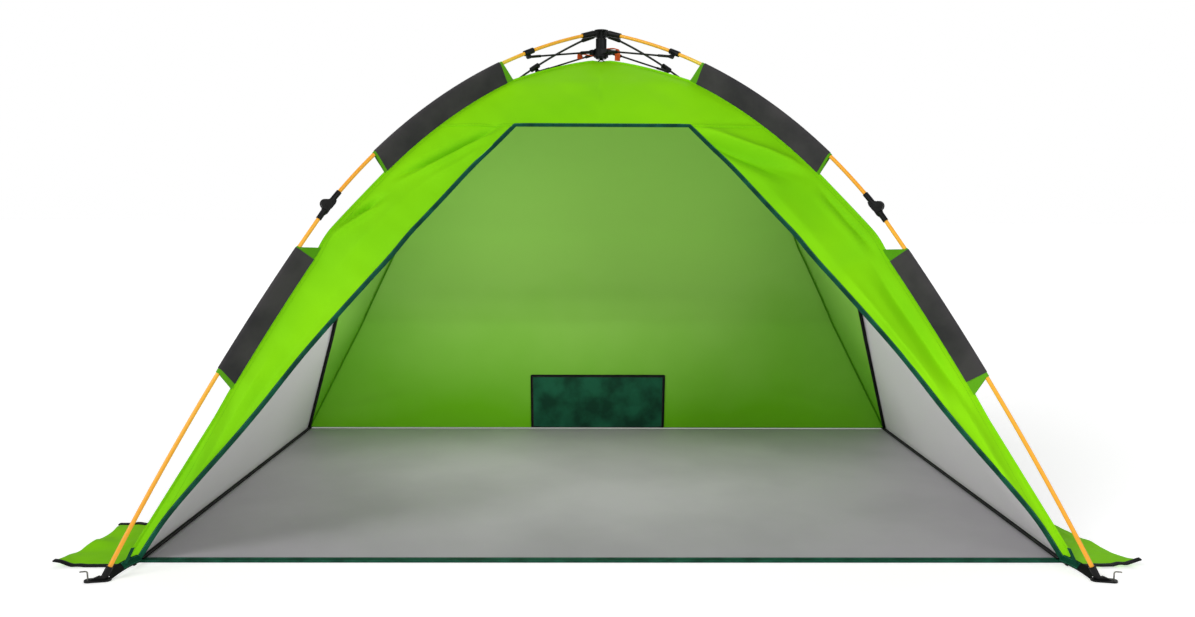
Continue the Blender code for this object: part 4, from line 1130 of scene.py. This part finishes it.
# Sleeves on the poles
def sleeve_rows(bow, first, last, radius, depth, grow, steps, slant_first=0.0, slant_last=0.0, seed=0.0):
    """A cloth tunnel over a rod and down both sides to the seam, where slants push its ends further on."""
    foot_half = grow * 0.8
    profile = [(-depth, foot_half)]
    for share in (0.8, 0.6, 0.4, 0.22):
        profile.append((-depth * share, foot_half + (radius - foot_half) * eased(1 - share)))
    profile += [(radius * math.sin(turn), radius * math.cos(turn)) for turn in spaced(0.0, math.pi, 10)]
    profile += [(rise, -across) for rise, across in reversed(profile[:5])]
    rows = []
    for share in spaced(0.0, 1.0, steps):
        row = []
        girth = 0.0
        for number, (rise, across) in enumerate(profile):
            deep = max(-rise, 0.0) / depth
            start = first - slant_first * deep
            stop = last + slant_last * deep
            way = start + (stop - start) * share
            wrinkle = slack(0.001, way * 34.0, rise * 30.0 + seed, 2.0 * math.copysign(1.0, across))
            wrinkle += 0.0006 * math.sin(way * 210.0 + seed) * deep
            if number:
                girth += math.hypot(rise - profile[number - 1][0], across - profile[number - 1][1])
            across += math.copysign(wrinkle, across) * eased(deep * 3)
            row.append((upright(bow.point(way, rise), across), (girth, way)))
        rows.append(row)
    return rows


# Each sleeve's place and depth, how much shorter its end is over the rod, how far it slants on at the seam,
# and how far its green liner shows over the rod and at the seam, at its start and at its end
SLEEVES = (
    (
        "upper", "pole_", upper_bow, UPPER_SLEEVE, UPPER_SLEEVE_DEPTH,
        0.0, 0.008, (0.008, 0.014), (0.006, 0.003),
    ),
    (
        "lower", "lower_", lower_bow, LOWER_SLEEVE, LOWER_SLEEVE_DEPTH,
        0.015, 0.015, (0.004, 0.03), (0.01, 0.004),
    ),
)
RIGHT_LOWER_END = (0.009, 0.0, (0.01, 0.024))
SEAM_CLEARANCE = 0.0012
LINER_OVERLAP = 0.012


def make_sleeves():
    """Dark grey sleeves over green liners, whose ends show beyond the grey cloth; the liners take the darker green
    of painted shade.
    """
    for corner, turn in TURNS.items():
        spin = Matrix.Rotation(turn, 4, "Z")
        radius = ROD_RADIUS[corner.split("_")[0]]
        for part, carrier, bow, (first, last), depth, cut, slant, start_liner, end_liner in SLEEVES:
            if (part, corner) == ("lower", "front_right"):
                cut, slant, end_liner = RIGHT_LOWER_END
            last -= cut
            depth -= SEAM_CLEARANCE
            body = carrier + corner
            seed = turn * 3 + len(part)
            rows = sleeve_rows(bow, first, last, radius + 0.0016, depth, 0.0022, 60, 0.0, slant, seed)
            hems = [rows[number] for number in (1, 2, -2, -3)]
            for line in (*hems, *zip(*[(row[1], row[-2]) for row in rows])):
                sew(body, "grey_sleeve_cloth", SLEEVE_THREAD, [spin @ spot for spot, _ in line])
            sheet(
                f"{part}_sleeve_cloth_{corner}", rows, (SLEEVE,), f"{part}_sleeve_{corner}", body,
                thickness=0.0009, spin=spin,
            )
            for where, near, far, slants in (
                ("start", first - start_liner[0], first + LINER_OVERLAP, (start_liner[1], 0.0)),
                ("end", last - LINER_OVERLAP, last + end_liner[0], (0.0, end_liner[1] + slant)),
            ):
                rows = sleeve_rows(bow, near, far, radius + 0.0008, depth, 0.0012, 6, *slants)
                # The liners' darker green is painted shade.
                liner = link(grid_mesh(f"{part}_sleeve_liner_{where}_{corner}", rows, spin), SHADED_GREEN)
                fasten(thicken(liner, 0.0005), body)


# Rods and fittings
SOCKET_FLOOR = 0.0178
KNEE_FLOOR = 0.0165
FERRULE_FLOOR = 0.0103
ROD_SIDES = 20
ROD_FINISHES = {"front": (ORANGE_ROD, "orange_fibreglass"), "rear": (BLACK_ROD, "black_fibreglass")}
EDGE_ROUNDING = 0.0005


def rod_mesh(name, bow, first, last, radius, spin):
    rows = []
    for way in spaced(first, last, 60):
        normal = upright(outward(bow.heading(way)))
        row = []
        for number in range(ROD_SIDES + 1):
            turn = -2 * math.pi * number / ROD_SIDES
            spot = upright(bow.point(way)) + radius * (math.cos(turn) * normal + math.sin(turn) * ACROSS)
            row.append((spot, (number / ROD_SIDES, way / bow.length)))
        rows.append(row)
    return crisp(grid_mesh(name, rows, spin))


def make_rods():
    for corner, turn in TURNS.items():
        end = corner.split("_")[0]
        finish, slot = ROD_FINISHES[end]
        for part, bow, first, last, body in (
            ("upper", upper_bow, SOCKET_FLOOR, upper_bow.length - KNEE_FLOOR, "pole_"),
            ("lower", lower_bow, KNEE_FLOOR, lower_bow.length - FERRULE_FLOOR, "lower_"),
        ):
            spin = Matrix.Rotation(turn, 4, "Z")
            thing = link(rod_mesh(f"{part}_rod_{corner}", bow, first, last, ROD_RADIUS[end], spin), finish)
            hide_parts(f"{part}_pole_{corner}")
            fasten(thing, body + corner)


def rounded(node):
    """A copy of a moulded fitting with its edges rounded over."""
    shape = bmesh.new()
    shape.from_mesh(frame["nodes"][node].data)
    bmesh.ops.remove_doubles(shape, verts=shape.verts, dist=0.00001)
    bmesh.ops.dissolve_limit(
        shape, angle_limit=math.radians(1.0), verts=shape.verts, edges=shape.edges, delimit={"NORMAL"}
    )
    mesh = bpy.data.meshes.new(node + "_moulded")
    shape.to_mesh(mesh)
    shape.free()
    thing = link(mesh, BLACK_PLASTIC)
    edge = thing.modifiers.new("rounded_edges", "BEVEL")
    edge.width = EDGE_ROUNDING
    edge.segments = 2
    edge.limit_method = "ANGLE"
    edge.angle_limit = math.radians(32.0)
    edge.use_clamp_overlap = True
    mesh.shade_smooth()
    mesh.set_sharp_from_angle(angle=math.radians(40.0))
    return thing


def make_fittings():
    """The moulded fittings with rounded edges, on their own bodies, and the pegs in their own steel."""
    bodies = frame["record"]["behaviour"]["bodies"]
    body_of = {node: body for body, nodes in bodies.items() for node in nodes}
    kinds = ("crown", "shaft", "runner", "pole_socket_", "strut_", "knee_upper_", "knee_lower_", "foot_")
    for node in frame["nodes"]:
        if node.startswith(kinds):
            thing = rounded(node)
            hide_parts(node)
            fasten(thing, body_of[node])
    for node, thing in frame["nodes"].items():
        if node.startswith("peg_"):
            thing.data.materials.clear()
            thing.data.materials.append(WIRE)


TAB_HALF = 0.008
TAB_DEEP = 0.001


def make_tab(name, side, top, reach, arch, fall, turn, facing):
    """A webbing tab that leaves the runner sideways, bends over and hangs with its face towards the front."""
    away = Vector((side * math.cos(turn), -side * math.sin(turn), 0.0))
    across = UP.cross(away)
    start = away * 0.0195 + UP * top
    bend = away * reach + UP * (top + arch)
    points = [start, start.lerp(bend, 0.35) + UP * 0.001, start.lerp(bend, 0.7) + UP * 0.0012, bend]
    for out, down in ((0.0022, 0.003), (0.0024, 0.01), (0.002, fall)):
        points.append(bend + away * out - UP * down)
    path = resampled(smooth_line(points, 8), 40)
    sides = []
    for number, run in enumerate(along_line(path)):
        share = eased((number / 40 - 0.35) / 0.4)
        wide = (across * (1 - share) + facing * share).normalized()
        wide = (wide - run * wide.dot(run)).normalized()
        sides.append((wide, run.cross(wide).normalized()))
    half, deep = TAB_HALF, TAB_DEEP
    shape = (
        (-half, -deep * 0.5), (-half * 0.9, -deep), (half * 0.9, -deep), (half, -deep * 0.5),
        (half, deep * 0.5), (half * 0.9, deep), (-half * 0.9, deep), (-half, deep * 0.5),
    )
    seam = ("runner", "red_webbing", RED_THREAD)
    thing = band("pull_tab_webbing_" + name, "runner", path, sides, shape, RED_WEBBING)
    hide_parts("pull_tab_" + name)
    for inward in (-half * 0.7, half * 0.7):
        sew_on(*seam, path[4:-2], sides[4:-2], inward, deep + THREAD_LIFT)
    for number in (-3, -12):
        spot, (wide, normal) = path[number], sides[number]
        sew(*seam, [spot + wide * half * share + normal * deep for share in (-0.7, 0.0, 0.7)])


def make_tabs():
    """The red webbing tabs that pull the runner down."""
    low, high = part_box("pull_tab_right")
    turn = math.atan2(high.y - low.y, high.x - low.x) * 0.75
    facing = Vector((0.93, 0.36, 0.0))
    make_tab("right", 1, high.z - 0.0012, 0.048, -0.002, high.z - low.z - 0.004, turn, facing)
    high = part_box("pull_tab_left")[1]
    make_tab("left", -1, high.z - 0.0012, 0.064, 0.009, 0.0125, turn, -facing)


def make_peak_tie():
    """The black tie that holds the canopy's peak to the tip of the shaft."""
    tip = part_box("shaft")[0].z
    path = []
    for share in spaced(-1.0, 1.0, 16):
        sag = 0.0075 * abs(share) ** 0.8
        path.append(Vector((0.012 * share, -0.0062 - 0.001 * abs(share), tip + 0.002 - sag)))
    band("peak_tie", "hub", path, [(UP, ACROSS)] * len(path), flat_shape(0.0016), BLACK_TAPE)


# Stage, light and camera
STAGE_REACH = 60.0
WHITE = (1.0, 1.0, 1.0, 1.0)
SURROUNDINGS_LIGHT = 0.31
# direction, power and softness in degrees of each sun
SUNS = {
    "key": ((0.7, 0.55, -0.5), 1.6, 28.0),
    "fill": ((-0.62, 0.7, -0.26), 0.95, 45.0),
    "front": ((0.0, 0.97, -0.12), 0.3, 50.0),
    "rear": ((-0.3, -0.7, -0.65), 0.6, 60.0),
}
CAMERA_PLACE = (-0.032, -2.68, 0.789)
CAMERA_TURN = (1.46625, -0.00365, -0.00869)
CAMERA_LENS = 28.1101


def make_stage():
    """A pale floor, faintly lit from below."""
    shape = bmesh.new()
    low = Matrix.Translation(-UP * 0.0006)
    bmesh.ops.create_grid(shape, x_segments=1, y_segments=1, size=STAGE_REACH, matrix=low)
    mesh = bpy.data.meshes.new("studio_floor")
    shape.to_mesh(mesh)
    shape.free()
    made = Finish("studio_floor_paint", 0.95, specular=0.05)
    made.colour(made.noise(0.7, 2.0), ((0.3, (0.8, 0.8, 0.8, 1.0)), (0.7, (0.83, 0.83, 0.83, 1.0))))
    made.shader.inputs["Emission Color"].default_value = WHITE
    made.shader.inputs["Emission Strength"].default_value = 0.44
    ground = link(mesh, made.material)
    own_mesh(ground)


def make_lamp(name, kind, power, colour=(1.0, 1.0, 1.0), place=None):
    """A lamp; one with a place inside the cabin isn't seen itself."""
    lamp = bpy.data.lights.new(name, kind)
    lamp.energy = power
    lamp.color = colour
    thing = link(lamp)
    if place:
        thing.location = place
        thing.visible_camera = False
    return lamp, thing


def make_lights():
    """Surroundings that look white and light the tent more dimly, four suns and three cabin lamps."""
    world = bpy.data.worlds.new("studio")
    world.use_nodes = True
    nodes = world.node_tree.nodes
    links = world.node_tree.links
    backdrop = nodes["Background"]
    backdrop.inputs["Color"].default_value = WHITE
    seen = nodes.new("ShaderNodeLightPath")
    level = nodes.new("ShaderNodeMapRange")
    level.inputs["To Min"].default_value = SURROUNDINGS_LIGHT
    level.inputs["To Max"].default_value = 1.0
    links.new(seen.outputs["Is Camera Ray"], level.inputs["Value"])
    links.new(level.outputs["Result"], backdrop.inputs["Strength"])
    bpy.context.scene.world = world
    for name, (towards, power, softness) in SUNS.items():
        lamp, thing = make_lamp(name, "SUN", power)
        lamp.angle = math.radians(softness)
        thing.rotation_euler = Vector(towards).to_track_quat("-Z", "Y").to_euler()
    lamp, _ = make_lamp("cabin_low", "AREA", 1.7, (1.0, 0.93, 1.0), (-0.15, 0.16, 0.5))
    lamp.shape = "RECTANGLE"
    lamp.size = 1.05
    lamp.size_y = 0.45
    for name, side, power in (("left", -0.34, 2.15), ("right", 0.34, 1.25)):
        lamp, _ = make_lamp("cabin_" + name, "POINT", power, (1.0, 0.95, 1.0), (side, 0.02, 0.58))
        lamp.shadow_soft_size = 0.2


def make_camera():
    lens = bpy.data.cameras.new("camera")
    lens.sensor_width = 36.0
    lens.lens = CAMERA_LENS
    lens.dof.use_dof = False
    camera = bpy.data.objects.new("camera", lens)
    camera.location = CAMERA_PLACE
    camera.rotation_euler = CAMERA_TURN
    bpy.context.scene.collection.objects.link(camera)
    bpy.context.scene.camera = camera


for make in (
    make_camera, make_lights, make_stage, make_front, make_rear, make_sides, make_floor, make_opening_tape,
    make_front_band, make_floor_seams, make_side_seams, make_ridge_seams, make_inner_seams, make_visor_seams,
    make_pocket, make_flaps, make_corners, make_rods, make_sleeves, make_fittings, make_tabs, make_peak_tie,
    make_stitches,
):
    make()
bpy.context.scene.view_settings.view_transform = "Standard"
bpy.context.scene.view_settings.look = "None"
